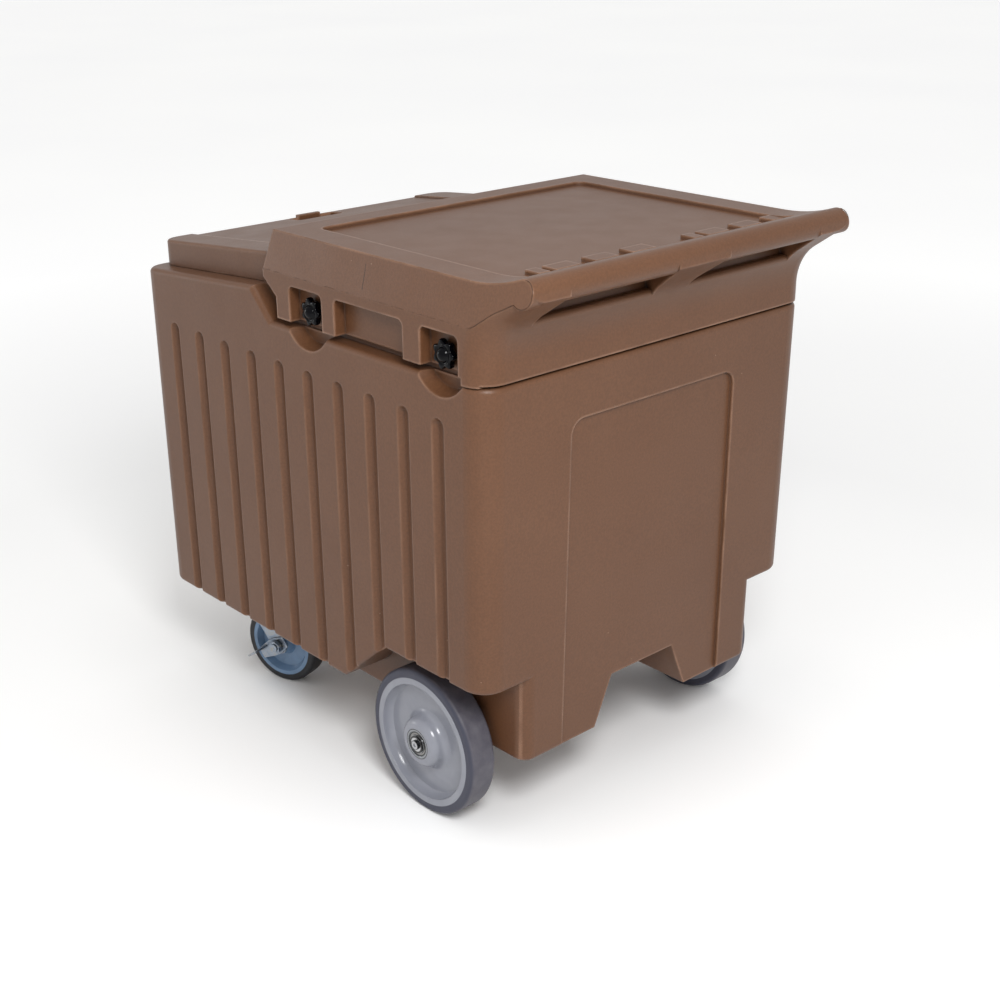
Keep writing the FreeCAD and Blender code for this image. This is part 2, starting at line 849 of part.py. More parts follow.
def hand_pocket():
    """One hand hold, behind the grip bar and between two struts."""
    radius, angle = deck_curve()
    low = pocket_sill_height
    top = deck_height + crest_rise
    lean_rate = pocket_lean / (deck_height - low)
    outline = [
        (rear_wall_y, low),
        (rear_wall_y - lean_rate * (top - low), top),
        (rear_y + overrun, top),
        (rear_y + overrun, low),
    ]
    plan = [
        (middle_strut_half_width, rear_wall_y),
        (middle_strut_half_width, rear_wall_y - 2 * pocket_lean),
        (end_strut_inner_x, rear_wall_y - 2 * pocket_lean),
        (end_strut_inner_x, rear_wall_y),
        (end_strut_grip_x, rear_y),
        (end_strut_grip_x, rear_y + overrun),
        (middle_strut_grip_half_width, rear_y + overrun),
        (middle_strut_grip_half_width, rear_y),
    ]
    solid = profile_x(outline, 0, half_width).common(profile_z(plan, low, top))
    ceiling = rod_x(radius + grip_plate, -overrun, half_width, deck_flat_end_y, deck_height + radius)
    bar = rod_x(grip_radius, -overrun, half_width, grip_y, grip_z)
    return solid.cut(ceiling).cut(bar)


def on_sill(centre, edge):
    """True for the outer edge of the sill under a hand hold."""
    ends = edge.Vertexes[0].Y, edge.Vertexes[-1].Y
    return near(centre.z, pocket_sill_height) and centre.y > rear_wall_y + pocket_sill_round and near(*ends)


def hood_void():
    """The open inside of the hood, through which the lid slides."""
    lean = (half_width - deck_half_width) / (deck_height - crease_height)
    ceiling = tray_floor_z - hood_wall
    crown_half = half_width - hood_wall - lean * (ceiling - crease_height)
    outline = [
        (-inner_half_width, rim_height - overrun),
        (-inner_half_width, inner_crease_height),
        (-half_width + 2 * hood_wall, inner_crease_height + hood_wall),
        (-crown_half, ceiling),
        (crown_half, ceiling),
        (half_width - 2 * hood_wall, inner_crease_height + hood_wall),
        (inner_half_width, inner_crease_height),
        (inner_half_width, rim_height - overrun),
    ]
    rear = rear_wall_y - pocket_lean - hood_wall
    solid = profile_y(outline, hood_nose_y - overrun, rear)
    lip = block(-half_width, half_width, hood_nose_y - overrun, hood_top_front_y + hood_wall,
                mouth_height, deck_height)
    return solid.cut(lip)


def skirt_window(y, width):
    """One recess of the skirt on the right side, open below."""
    solid = block(window_floor_x, half_width + overrun, y - width / 2, y + width / 2,
                  skirt_foot_z - overrun, recess_top_height)
    return rounded(solid, recess_round, lambda c, e: near(c.z, recess_top_height)
                   and near(abs(c.y - y), width / 2))


def skirt_windows():
    middle_y = rear_wall_y - middle_window_centre_setback
    row = [
        skirt_window(front_knob_y, front_window_width),
        skirt_window(middle_y, middle_window_width),
        skirt_window(rear_knob_y, rear_window_width),
    ]
    return row + [mirrored(cut) for cut in row]


def tray():
    front = rear_wall_y - tray_front_setback
    rear = rear_y - tray_rear_setback
    solid = block(-tray_half_width, tray_half_width, front, rear, tray_floor_z, deck_height + overrun)
    return rounded(solid, tray_corner, lambda c, e: upright(e) and near(c.y, front))


def lugs():
    """Two like groups of raised lugs along the rear of the tray."""
    rear = rear_y - lug_rear_setback
    row = []
    field = 2 * tray_half_width
    pitch, width = field * lug_pitch_share, field * lug_width_share
    for share in (lug_group_start_share, lug_group_start_share - lug_group_shift_share):
        start = field * share
        end = start - field * small_lug_width_share
        first = end - field * small_lug_gap_share
        spans = [(end, start)] + [(first - i * pitch - width, first - i * pitch) for i in range(3)]
        for low, high in spans:
            row.append(block(low, high, rear - lug_depth, rear, tray_floor_z, tray_floor_z + lug_height))
    return row


def hood():
    solid = hood_side().common(deck_top()).common(facets())
    pocket = hand_pocket()
    solid = rounded(solid.cut(pocket).cut(mirrored(pocket)), pocket_sill_round, on_sill)
    for cut in [hood_void(), tray()] + skirt_windows():
        solid = solid.cut(cut)
    bar = rod_x(grip_radius, -half_width, half_width, grip_y, grip_z).common(facets())
    solid = solid.fuse([bar] + lugs())
    for side, y in knob_places():
        hole = rod_x(stud_diameter / 2 + seat_gap, neck_half_width, half_width, y, knob_height)
        solid = solid.cut(hole if side > 0 else mirrored(hole))
    return solid.removeSplitter()


# Sliding lid


def lid_body(inset, raise_top):
    """The lid as a plain wedge, drawn in by an inset on every face."""
    low = seat_gap + inset
    high = seat_gap + lid_front_thickness + raise_top - inset
    front, rear = lid_front_y + inset, lid_rear_y - inset
    top_rise = lid_top_slope_share * (rear - front)
    outline = [
        (front, lid_plane_z(front) + low),
        (rear, lid_plane_z(rear) + low),
        (rear, lid_plane_z(front) + high + top_rise),
        (front, lid_plane_z(front) + high),
    ]
    half = lid_half_width - inset
    solid = profile_x(outline, -half, half)
    solid = rounded(solid, lid_front_round - inset, lambda c, e: upright(e) and near(c.y, front))
    return rounded(solid, lid_rear_round - inset, lambda c, e: upright(e) and near(c.y, rear))


def lid_top_z(y):
    """The middle field of the lid's top face."""
    return lid_plane_z(lid_front_y) + seat_gap + lid_front_thickness + lid_top_slope_share * (y - lid_front_y)


def lid_scoop(grow):
    """The finger hollow behind the grip lip."""
    front = front_y + grip_lip_thickness - grow
    floor = lid_top_z(front) - scoop_depth - grow
    solid = block(-scoop_half_width - grow, scoop_half_width + grow, front, front + scoop_length + 2 * grow,
                  floor, deck_height)
    return rounded(solid, scoop_depth, lambda c, e: upright(e))


def lid_foam():
    return lid_body(lid_skin, 0).cut(lid_scoop(lid_skin)).removeSplitter()


def lid_shell():
    solid = lid_body(0, lid_border_rise)
    solid = rounded(solid, lid_edge_round, lambda c, e: near(c.y, lid_front_y, lid_edge_round)
                    and c.z > lid_top_z(lid_front_y) and not upright(e))
    field = lid_half_width - lid_border_width
    front, rear = lid_front_y - overrun, lid_rear_y + overrun
    sunk = [
        (front, lid_top_z(front)),
        (rear, lid_top_z(rear)),
        (rear, deck_height + overrun),
        (front, deck_height + overrun),
    ]
    solid = solid.cut(profile_x(sunk, -field, field)).cut(lid_scoop(0))
    crest = lid_top_z(lid_front_y) + grip_lip_rise
    lip = block(-grip_lip_half_width, grip_lip_half_width, front_y, front_y + grip_lip_thickness,
                crest - grip_lip_height, crest)
    lip = rounded(lip, grip_lip_rise, lambda c, e: near(c.y, front_y))
    return solid.fuse(lip).cut(lid_foam()).removeSplitter()


# Knobs


def star_knob():
    """Lobed hand knob of the right side, with a domed cap and a blind hole for its stud."""
    back = window_floor_x + turn_gap
    start = back + knob_boss_length
    front = start + knob_thickness
    lobe = knob_lobe_diameter / 2
    orbit = knob_diameter / 2 - lobe
    solid = rod_x(knob_boss_diameter / 2, back, start, 0, 0).fuse(rod_x(orbit, start, front, 0, 0))
    for i in range(knob_lobe_count):
        angle = 2 * math.pi * i / knob_lobe_count
        solid = solid.fuse(rod_x(lobe, start, front, orbit * math.cos(angle), orbit * math.sin(angle)))
    cap = knob_cap_diameter / 2
    solid = solid.fuse(turned_x([(front - knob_cap_rise, 0), (front - knob_cap_rise, cap), (front, cap),
                                 (knob_cap_rise / 2, front + knob_cap_rise, 0)]))
    return solid.removeSplitter().cut(rod_x(stud_diameter / 2, back, back + knob_stud_depth, 0, 0))


def knob_stud():
    inner = neck_half_width - insert_length + turn_gap
    return rod_x(stud_diameter / 2, inner, window_floor_x + turn_gap + knob_stud_depth, 0, 0)


def knob_insert():
    """Collared brass insert of the neck, which spaces the hood from the neck."""
    outer = insert_diameter / 2
    bore = stud_diameter / 2 + shaft_gap
    collar = outer + insert_collar
    low, high = neck_half_width - insert_length, neck_half_width
    return turned_x([(low, bore), (low, outer), (high, outer), (high, collar),
                     (inner_half_width, collar), (inner_half_width, bore)])


def at_knob(shape, side, y):
    """A right-hand piece on the X axis, moved to one knob place."""
    placed = shape.copy() if side > 0 else mirrored(shape)
    placed.translate(V(0, y, knob_height))
    return placed


def knob_inserts():
    return Part.makeCompound([at_knob(knob_insert(), side, y) for side, y in knob_places()])


# Rear wheels and their axle


def wheel_rim_radius():
    return rear_wheel_diameter / 2 - tyre_thickness


def wheel_tyre():
    """Right rear tyre."""
    out, inn = rear_wheel_outer_face_x, rear_wheel_outer_face_x - rear_wheel_width
    tread, rim = rear_wheel_diameter / 2, wheel_rim_radius()
    curve = tyre_shoulder * (1 - math.cos(math.pi / 4))
    return turned_x([
        (inn, rim),
        (inn, tread - tyre_shoulder),
        (curve, inn + tyre_shoulder, tread),
        (out - tyre_shoulder, tread),
        (curve, out, tread - tyre_shoulder),
        (out, rim),
    ], axle_y, axle_z)


def wheel_hub():
    """Right rear hub: a dished web, a rim with an inner lip and a domed boss for two bearings."""
    out, inn = rear_wheel_outer_face_x, rear_wheel_outer_face_x - rear_wheel_width
    rim = wheel_rim_radius()
    lip = rim - hub_lip_width
    dish = out - hub_dish_depth
    web = dish - hub_web
    face, heel = out + hub_boss_proud, inn - hub_heel_proud
    seat = bearing_outer_diameter / 2
    bore = seat - bearing_race - turn_gap
    return turned_x([
        (heel, hub_boss_face_radius),
        (web, hub_boss_root_radius),
        (web, lip - hub_dish_lip),
        (inn, lip),
        (inn, rim),
        (out, rim),
        (out, lip),
        (-hub_dish_lip / 4, dish, lip - hub_dish_lip),
        (dish, hub_boss_root_radius),
        (-hub_boss_swell, (dish + face) / 2, (hub_boss_root_radius + hub_boss_face_radius) / 2),
        (hub_boss_swell, face, hub_boss_face_radius),
        (face, seat),
        (face - bearing_width, seat),
        (face - bearing_width, bore),
        (heel + bearing_width, bore),
        (heel + bearing_width, seat),
        (heel, seat),
    ], axle_y, axle_z)


def bearing_starts():
    """Inner X places of the two bearings of the right wheel."""
    face = rear_wheel_outer_face_x + hub_boss_proud
    heel = rear_wheel_outer_face_x - rear_wheel_width - hub_heel_proud
    return heel, face - bearing_width


def inner_race_radius():
    return journal_diameter / 2 + bearing_race


def bearing_outer_races():
    """Outer races with their shields, both bearings of the right wheel."""
    outer = bearing_outer_diameter / 2
    race = outer - bearing_race
    shield = inner_race_radius() + shaft_gap
    near_side, far_side = bearing_shield_recess, bearing_shield_recess + bearing_shield
    solids = []
    for x in bearing_starts():
        end = x + bearing_width
        solids.append(turned_x([
            (x, outer), (end, outer), (end, race),
            (end - near_side, race), (end - near_side, shield), (end - far_side, shield), (end - far_side, race),
            (x + far_side, race), (x + far_side, shield), (x + near_side, shield), (x + near_side, race),
            (x, race),
        ], axle_y, axle_z))
    return Part.makeCompound(solids)


def ring_x(outer, inner, x0, x1, y, z):
    return turned_x([(x0, inner), (x0, outer), (x1, outer), (x1, inner)], y, z)


def axle_ring(outer, x0, x1):
    """A ring on the right journal."""
    return ring_x(outer, journal_diameter / 2, x0, x1, axle_y, axle_z)


def bearing_inner_races():
    right = [axle_ring(inner_race_radius(), x, x + bearing_width) for x in bearing_starts()]
    return Part.makeCompound(right + [mirrored(race) for race in right])


def bearing_spacers():
    heel, face = bearing_starts()
    right = axle_ring(journal_diameter / 2 + bearing_race - turn_gap, heel + bearing_width, face)
    return Part.makeCompound([right, mirrored(right)])


def axle_end_x():
    return rear_wheel_outer_face_x + hub_boss_proud


def rear_axle():
    """Through axle with a shouldered journal and a tapped hole at each end."""
    heel = bearing_starts()[0]
    end = axle_end_x()
    solid = rod_x(axle_diameter / 2, -heel, heel, axle_y, axle_z)
    solid = solid.fuse(rod_x(journal_diameter / 2, -end, end, axle_y, axle_z))
    hole = rod_x(end_screw_diameter / 2, end - end_screw_length, end + overrun, axle_y, axle_z)
    return solid.cut(hole).cut(mirrored(hole)).removeSplitter()


def axle_end_washers():
    end = axle_end_x()
    right = ring_x(end_washer_diameter / 2, end_screw_diameter / 2, end, end + end_washer_thickness, axle_y, axle_z)
    return Part.makeCompound([right, mirrored(right)])


def axle_end_screws():
    """Socket screws in the axle ends."""
    seat = axle_end_x() + end_washer_thickness
    front = seat + end_screw_head_height
    solid = rod_x(end_screw_diameter / 2, axle_end_x() - end_screw_length, seat, axle_y, axle_z)
    solid = solid.fuse(rod_x(end_screw_head_diameter / 2, seat, front, axle_y, axle_z))
    socket = hexagon(end_screw_socket_across, end_screw_head_height)
    socket.rotate(V(0, 0, 0), V(0, 1, 0), 90)
    socket.translate(V(front - end_screw_head_height / 2, axle_y, axle_z))
    solid = solid.cut(socket)
    return Part.makeCompound([solid, mirrored(solid)])


def axle_straps():
    """Two straps that hold the axle under the keel."""
    inner = axle_diameter / 2
    outer = inner + strap_thickness
    reach = outer + strap_flange
    x0, x1 = strap_centre_x - strap_width / 2, strap_centre_x + strap_width / 2
    flange_z = keel_z - strap_thickness
    bend = outer - outer * math.cos(math.pi / 4)
    outline = [
        (axle_y - reach, keel_z),
        (axle_y - reach, flange_z),
        (axle_y - outer, flange_z),
        (axle_y - outer, axle_z),
        (-outer, axle_y + outer, axle_z),
        (axle_y + outer, flange_z),
        (axle_y + reach, flange_z),
        (axle_y + reach, keel_z),
    ]
    solid = profile_x(outline, x0, x1).cut(rod_x(inner, x0 - bend, x1 + bend, axle_y, axle_z))
    solid = solid.cut(block(x0 - bend, x1 + bend, axle_y - inner, axle_y + inner, axle_z, keel_z))
    straps = solid.fuse(mirrored(solid))
    for x, y in strap_screw_places():
        straps = straps.cut(rod_z(strap_screw_diameter / 2, flange_z, keel_z, x, y))
    return Part.makeCompound(straps.Solids)


def strap_screws():
    """Dome-headed screws through the strap flanges into the keel."""
    screws = []
    seat = keel_z - strap_thickness
    head = strap_screw_head_diameter / 2
    for x, y in strap_screw_places():
        screw = turned_z([
            (0, seat - strap_screw_head_height),
            (-strap_screw_head_height / 4, head, seat),
            (strap_screw_diameter / 2, seat),
            (strap_screw_diameter / 2, keel_z + strap_screw_length),
            (0, keel_z + strap_screw_length),
        ])
        screw.translate(V(x, y, 0))
        screws.append(screw)
    return Part.makeCompound(screws)


# Casters, drawn with the kingpin on the Z axis and the trail along +Y


def crown_top_z():
    return front_zone_z - caster_plate_thickness - race_height - seat_gap


def caster_placed(shape, side, turn):
    """A right-hand caster piece moved to its kingpin place, mirrored first on the left."""
    placed = shape.copy() if side > 0 else mirrored(shape)
    placed.rotate(V(0, 0, 0), V(0, 0, 1), turn)
    placed.translate(V(side * caster_x, kingpin_y, 0))
    return placed


def caster_plate():
    """Top plate with its fixed bearing race."""
    low = front_zone_z - caster_plate_thickness
    wide, long = caster_plate_width / 2, caster_plate_length / 2
    solid = block(-wide, wide, -long, long, low, front_zone_z)
    solid = rounded(solid, caster_bolt_diameter, lambda c, e: upright(e))
    solid = solid.fuse(rod_z(race_diameter / 2, low - race_height, low, 0, 0))
    solid = solid.cut(rod_z(kingpin_diameter / 2, low - race_height, front_zone_z, 0, 0))
    for x, y in caster_bolt_pattern():
        solid = solid.cut(rod_z(caster_bolt_diameter / 2, low, front_zone_z, x, y))
    return solid


def caster_bolt_pattern():
    wide, long = caster_bolt_spacing_wide / 2, caster_bolt_spacing_long / 2
    return [(a * wide, b * long) for a in (1, -1) for b in (1, -1)]


def caster_bolts():
    """Hexagon bolts that hold both top plates to the bin."""
    seat = front_zone_z - caster_plate_thickness
    bolts = []
    for x, y in caster_bolt_places():
        head = hexagon(caster_bolt_across, caster_bolt_head)
        head.translate(V(x, y, seat - caster_bolt_head))
        shank = rod_z(caster_bolt_diameter / 2, seat, front_zone_z + caster_bolt_length, x, y)
        bolts.append(head.fuse(shank))
    return Part.makeCompound(bolts)


def kingpin():
    """Headed pin on which the fork swivels."""
    bridge = crown_top_z() - crown_height - fork_plate
    head = kingpin_head_diameter / 2
    pin = kingpin_diameter / 2
    low = bridge - seat_gap
    return turned_z([(0, low - kingpin_head_height), (head, low - kingpin_head_height), (head, low),
                     (pin, low), (pin, front_zone_z), (0, front_zone_z)])


def fork_inner_x():
    return caster_wheel_width / 2 + fork_inner_gap


def caster_fork():
    """Swivel crown, bridge and two legs that taper down to the wheel bolt."""
    top = crown_top_z()
    bridge_top = top - crown_height
    bridge = bridge_top - fork_plate
    inner, outer = fork_inner_x(), fork_inner_x() + fork_plate
    front, rear = -fork_top_length / 2, fork_top_length / 2
    foot = fork_foot_radius
    leg_outline = [
        (front, bridge_top),
        (caster_trail - foot, caster_axle_z),
        (-foot, caster_trail + foot, caster_axle_z),
        (rear, bridge_top),
    ]
    leg = profile_x(leg_outline, inner, outer)
    solid = both_sides(leg).fuse(block(-outer, outer, front, rear, bridge, bridge_top))
    solid = solid.fuse(rod_z(fork_crown_diameter / 2, bridge_top, top, 0, 0))
    solid = solid.cut(rod_z(kingpin_diameter / 2 + shaft_gap, bridge, top, 0, 0))
    return solid.cut(rod_x(wheel_bolt_diameter / 2, -outer, outer, caster_trail, caster_axle_z)).removeSplitter()


def nut_seat_x():
    """Outer side of the brake lever, where the wheel bolt's nut bears."""
    return fork_inner_x() + fork_plate + lever_plate + 2 * seat_gap


def wheel_bolt():
    """Bolt through the fork and the caster wheel, headed on the inner side."""
    outer = fork_inner_x() + fork_plate
    head = hexagon(wheel_nut_across, wheel_bolt_head)
    head.rotate(V(0, 0, 0), V(0, 1, 0), 90)
    head.translate(V(-outer - wheel_bolt_head, caster_trail, caster_axle_z))
    end = nut_seat_x() + wheel_nut_thickness + wheel_bolt_end
    return head.fuse(rod_x(wheel_bolt_diameter / 2, -outer, end, caster_trail, caster_axle_z))


def wheel_nut():
    nut = hexagon(wheel_nut_across, wheel_nut_thickness)
    nut.rotate(V(0, 0, 0), V(0, 1, 0), 90)
    nut.translate(V(nut_seat_x(), caster_trail, caster_axle_z))
    bore = rod_x(wheel_bolt_diameter / 2, nut_seat_x(), nut_seat_x() + wheel_nut_thickness,
                 caster_trail, caster_axle_z)
    return nut.cut(bore)


def caster_tyre():
    half = caster_wheel_width / 2
    tread = caster_wheel_diameter / 2
    rim = tread - caster_tyre_thickness
    curve = caster_tyre_shoulder * (1 - math.cos(math.pi / 4))
    return turned_x([
        (-half, rim),
        (-half, tread - caster_tyre_shoulder),
        (curve, -half + caster_tyre_shoulder, tread),
        (half - caster_tyre_shoulder, tread),
        (curve, half, tread - caster_tyre_shoulder),
        (half, rim),
    ], caster_trail, caster_axle_z)


def caster_hub():
    """Dished hub that turns straight on the wheel bolt."""
    half = caster_wheel_width / 2
    rim = caster_wheel_diameter / 2 - caster_tyre_thickness
    lip = rim - caster_hub_lip
    web = caster_hub_web / 2
    root = lip - caster_hub_lip
    boss = fork_inner_x() - turn_gap
    bore = wheel_bolt_diameter / 2 + shaft_gap
    return turned_x([
        (-boss, bore),
        (-boss, caster_hub_boss_radius),
        (-web, caster_hub_boss_radius + caster_hub_lip),
        (-web, root),
        (-half, lip),
        (-half, rim),
        (half, rim),
        (half, lip),
        (web, root),
        (web, caster_hub_boss_radius + caster_hub_lip),
        (boss, caster_hub_boss_radius),
        (boss, bore),
    ], caster_trail, caster_axle_z)


def brake_lever():
    """Side lever with its eye on the wheel bolt and a pedal that stands out sideways."""
    near_x = fork_inner_x() + fork_plate + seat_gap
    far_x = near_x + lever_plate
    tip = -lever_arm_length
    half = lever_arm_width / 2
    solid = profile_x([
        (lever_back_length, -half),
        (lever_back_length, half),
        (0, lever_eye_radius),
        (-lever_eye_radius, lever_eye_radius),
        (tip, half),
        (tip, -half),
        (-lever_eye_radius, -lever_eye_radius),
        (0, -lever_eye_radius),
    ], near_x, far_x)
    solid = solid.fuse(block(near_x, near_x + pedal_reach, tip, tip + pedal_length, half - lever_plate, half))
    solid = solid.cut(rod_x(wheel_bolt_diameter / 2 + shaft_gap, near_x, far_x, 0, 0))
    solid.rotate(V(0, 0, 0), V(1, 0, 0), lever_arm_drop_angle)
    solid.translate(V(0, caster_trail, caster_axle_z))
    return solid.removeSplitter()


# Drain tap


def tap_seat_y():
    return front_y + tap_pocket_depth


def tap_spout_y():
    return tap_seat_y() - tap_flange_thickness - turn_gap - tap_spout_diameter / 2


def drain_valve():
    """Tap body with its flange, its tube through the wall and a spout that points down."""
    seat = tap_seat_y()
    flange = seat - tap_flange_thickness
    front = flange - tap_body_length
    inner_end = well_front_y + tap_gasket_thickness + tap_nut_thickness + turn_gap
    spout_y = tap_spout_y()
    foot = tap_height - tap_spout_drop
    solid = turned_z([
        (0, front),
        (tap_body_diameter / 2, front),
        (tap_body_diameter / 2, flange),
        (tap_flange_diameter / 2, flange),
        (tap_flange_diameter / 2, seat),
        (tap_tube_diameter / 2, seat),
        (tap_tube_diameter / 2, inner_end),
        (0, inner_end),
    ])
    solid.rotate(V(0, 0, 0), V(1, 0, 0), -90)
    solid.translate(V(0, 0, tap_height))
    solid = solid.fuse(rod_z(tap_spout_diameter / 2, foot, tap_height, 0, spout_y))
    spout_bore = tap_spout_diameter / 2 - tap_spout_wall
    solid = solid.cut(rod_y(tap_bore_diameter / 2, spout_y - spout_bore / 2, inner_end + overrun, 0, tap_height))
    solid = solid.cut(rod_z(spout_bore, foot - overrun, tap_height + turn_gap, 0, spout_y))
    return solid.cut(rod_y(tap_stem_diameter / 2 + shaft_gap, front - overrun, front + tap_stem_depth, 0, tap_height))


def drain_gasket():
    return ring_y(tap_flange_diameter / 2, tap_tube_diameter / 2, well_front_y, well_front_y + tap_gasket_thickness)


def ring_y(outer, inner, y0, y1):
    """A ring on the tap's axis."""
    return rod_y(outer, y0, y1, 0, tap_height).cut(rod_y(inner, y0, y1, 0, tap_height))


def drain_nut():
    """Hexagon nut inside the sump."""
    nut = hexagon(tap_nut_across, tap_nut_thickness)
    nut.rotate(V(0, 0, 0), V(1, 0, 0), -90)
    start = well_front_y + tap_gasket_thickness
    nut.translate(V(0, start, tap_height))
    return nut.cut(rod_y(tap_tube_diameter / 2, start, start + tap_nut_thickness, 0, tap_height))


def drain_lever():
    """Quarter-turn lever in front of the tap body."""
    face = tap_seat_y() - tap_flange_thickness - tap_body_length
    back = face - seat_gap
    front = back - tap_lever_thickness
    half = tap_lever_width / 2
    arm = block(0, tap_lever_length, front, back, tap_height - half, tap_height + half)
    solid = arm.fuse([
        rod_y(half, front, back, tap_lever_length, tap_height),
        rod_y(tap_stem_diameter, front, back, 0, tap_height),
        rod_y(tap_stem_diameter / 2, back, face + tap_stem_depth - seat_gap, 0, tap_height),
    ])
    return solid.removeSplitter()


# Every sub-component under its name


def fixed_nodes():
    return {
        "bin_shell": bin_shell(),
        "foam_core": foam_core(),
        "drain_shelf": drain_shelf(),
        "hood": hood(),
        "knob_inserts": knob_inserts(),
        "rear_axle": rear_axle(),
        "axle_straps": axle_straps(),
        "strap_screws": strap_screws(),
        "bearing_inner_races": bearing_inner_races(),
        "bearing_spacers": bearing_spacers(),
        "axle_end_washers": axle_end_washers(),
        "axle_end_screws": axle_end_screws(),
        "caster_bolts": caster_bolts(),
        "drain_valve": drain_valve(),
        "drain_gasket": drain_gasket(),
        "drain_nut": drain_nut(),
    }


def moving_nodes():
    return {
        "lid_shell": lid_shell(),
        "lid_foam": lid_foam(),
        "drain_lever": drain_lever(),
    }


def knob_nodes():
    names = {(1, front_knob_y): "front_right", (1, rear_knob_y): "rear_right",
             (-1, front_knob_y): "front_left", (-1, rear_knob_y): "rear_left"}
    found = {}
    for (side, y), place in names.items():
        found["knob_" + place] = at_knob(star_knob(), side, y)
        found["stud_" + place] = at_knob(knob_stud(), side, y)
    return found


def wheel_nodes():
    right = {"hub": wheel_hub(), "tyre": wheel_tyre(), "bearings": bearing_outer_races()}
    found = {}
    for name, shape in right.items():
        found["wheel_" + name + "_right"] = shape
        found["wheel_" + name + "_left"] = mirrored(shape)
    return found


def caster_nodes():
    fixed = {"plate": caster_plate(), "kingpin": kingpin()}
    turned = {"fork": caster_fork(), "wheel_bolt": wheel_bolt(), "wheel_nut": wheel_nut(),
              "hub": caster_hub(), "tyre": caster_tyre(), "brake_lever": brake_lever()}
    found = {}
    for side, place in ((1, "_right"), (-1, "_left")):
        for name, shape in fixed.items():
            found["caster_" + name + place] = caster_placed(shape, side, 0)
        for name, shape in turned.items():
            found["caster_" + name + place] = caster_placed(shape, side, caster_turn_angle)
    return found


os.makedirs("parts", exist_ok=True)
for group in (fixed_nodes(), moving_nodes(), knob_nodes(), wheel_nodes(), caster_nodes()):
    for name, shape in group.items():
        shape.exportStep("parts/" + name + ".step")
        print(name, "solids", len(shape.Solids), "valid", shape.isValid(), "faces", len(shape.Faces))
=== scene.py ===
import math

import bpy
import bmesh
from mathutils import Matrix, Vector


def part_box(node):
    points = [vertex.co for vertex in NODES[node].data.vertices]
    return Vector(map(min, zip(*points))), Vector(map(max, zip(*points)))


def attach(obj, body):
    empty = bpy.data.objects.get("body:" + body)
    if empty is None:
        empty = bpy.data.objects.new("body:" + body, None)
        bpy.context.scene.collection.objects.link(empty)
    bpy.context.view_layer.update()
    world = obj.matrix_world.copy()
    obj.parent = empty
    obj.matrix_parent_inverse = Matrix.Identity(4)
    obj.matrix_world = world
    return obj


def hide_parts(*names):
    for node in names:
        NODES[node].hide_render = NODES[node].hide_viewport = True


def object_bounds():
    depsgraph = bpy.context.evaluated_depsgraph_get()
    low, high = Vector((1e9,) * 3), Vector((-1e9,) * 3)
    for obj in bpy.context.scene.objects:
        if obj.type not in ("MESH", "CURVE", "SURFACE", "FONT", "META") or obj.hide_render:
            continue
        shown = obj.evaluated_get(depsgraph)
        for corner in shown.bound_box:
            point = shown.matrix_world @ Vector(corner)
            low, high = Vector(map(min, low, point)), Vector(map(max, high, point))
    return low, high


bl_info = {
    "name": "Mobile Ice Bin",
    "version": (1, 0, 0),
    "blender": (4, 5, 0),
    "location": "View3D > Sidebar > Ice Bin",
    "description": "Finishes and small parts for an insulated ice bin on wheels",
    "category": "Object",
}

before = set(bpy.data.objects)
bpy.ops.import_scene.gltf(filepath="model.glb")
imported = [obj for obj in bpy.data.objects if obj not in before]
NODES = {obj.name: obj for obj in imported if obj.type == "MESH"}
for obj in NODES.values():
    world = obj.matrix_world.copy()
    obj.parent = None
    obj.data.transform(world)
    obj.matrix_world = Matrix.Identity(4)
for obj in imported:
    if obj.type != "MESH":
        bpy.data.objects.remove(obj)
CAD_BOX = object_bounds()

MM = 0.001
# points closer than this are one point
WELD = 0.02 * MM
SIDES = {"right": 1.0, "left": -1.0}
KNOB_ROWS = ("front", "rear")
WHITE = (1.0, 1.0, 1.0, 1.0)
ZINC = "zinc_plated_steel"


# Helpers


def looks():
    return bpy.context.scene.ice_bin_looks


def sizes():
    return bpy.context.scene.ice_bin_sizes


def linear(hex_colour):
    """An sRGB hex colour as linear red, green, blue and alpha."""
    values = [int(hex_colour[i:i + 2], 16) / 255 for i in (1, 3, 5)]
    return tuple(v / 12.92 if v <= 0.04045 else ((v + 0.055) / 1.055) ** 2.4 for v in values) + (1.0,)


def grey(value):
    return (value, value, value, 1.0)


def per_mm(size):
    """Texture scale that gives features of a size in millimetres on coordinates in metres."""
    return 1 / (size * MM)


def middle(name):
    """Centre of a CAD node's box, read from the frame."""
    low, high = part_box(name)
    return [(a + b) / 2 for a, b in zip(low, high)]


def add_node(tree, kind, inputs=None, **settings):
    """Adds a node with its settings, and links or fills the inputs given by name or number."""
    new = tree.nodes.new(kind)
    for name, value in settings.items():
        setattr(new, name, value)
    for key, value in (inputs or {}).items():
        if isinstance(value, bpy.types.NodeSocket):
            tree.links.new(value, new.inputs[key])
        else:
            new.inputs[key].default_value = value
    return new


def calculate(tree, operation, *values):
    """Result of a math node on sockets or numbers."""
    return add_node(tree, "ShaderNodeMath", dict(enumerate(values)), operation=operation).outputs[0]


def calculate_vectors(tree, operation, *values):
    """Outputs of a vector math node on sockets or vectors."""
    return add_node(tree, "ShaderNodeVectorMath", dict(enumerate(values)), operation=operation).outputs


def start_material(name, **values):
    """A new node material with the constants of its shader set; returns material, tree and shader."""
    material = bpy.data.materials.new(name)
    material.use_nodes = True
    tree = material.node_tree
    shader = tree.nodes["Principled BSDF"]
    for socket, value in values.items():
        shader.inputs[socket.replace("_", " ")].default_value = value
    return material, tree, shader


def join(tree, shader, **sockets):
    """Links what has been worked out to the shader's inputs."""
    for name, socket in sockets.items():
        tree.links.new(socket, shader.inputs[name.replace("_", " ")])


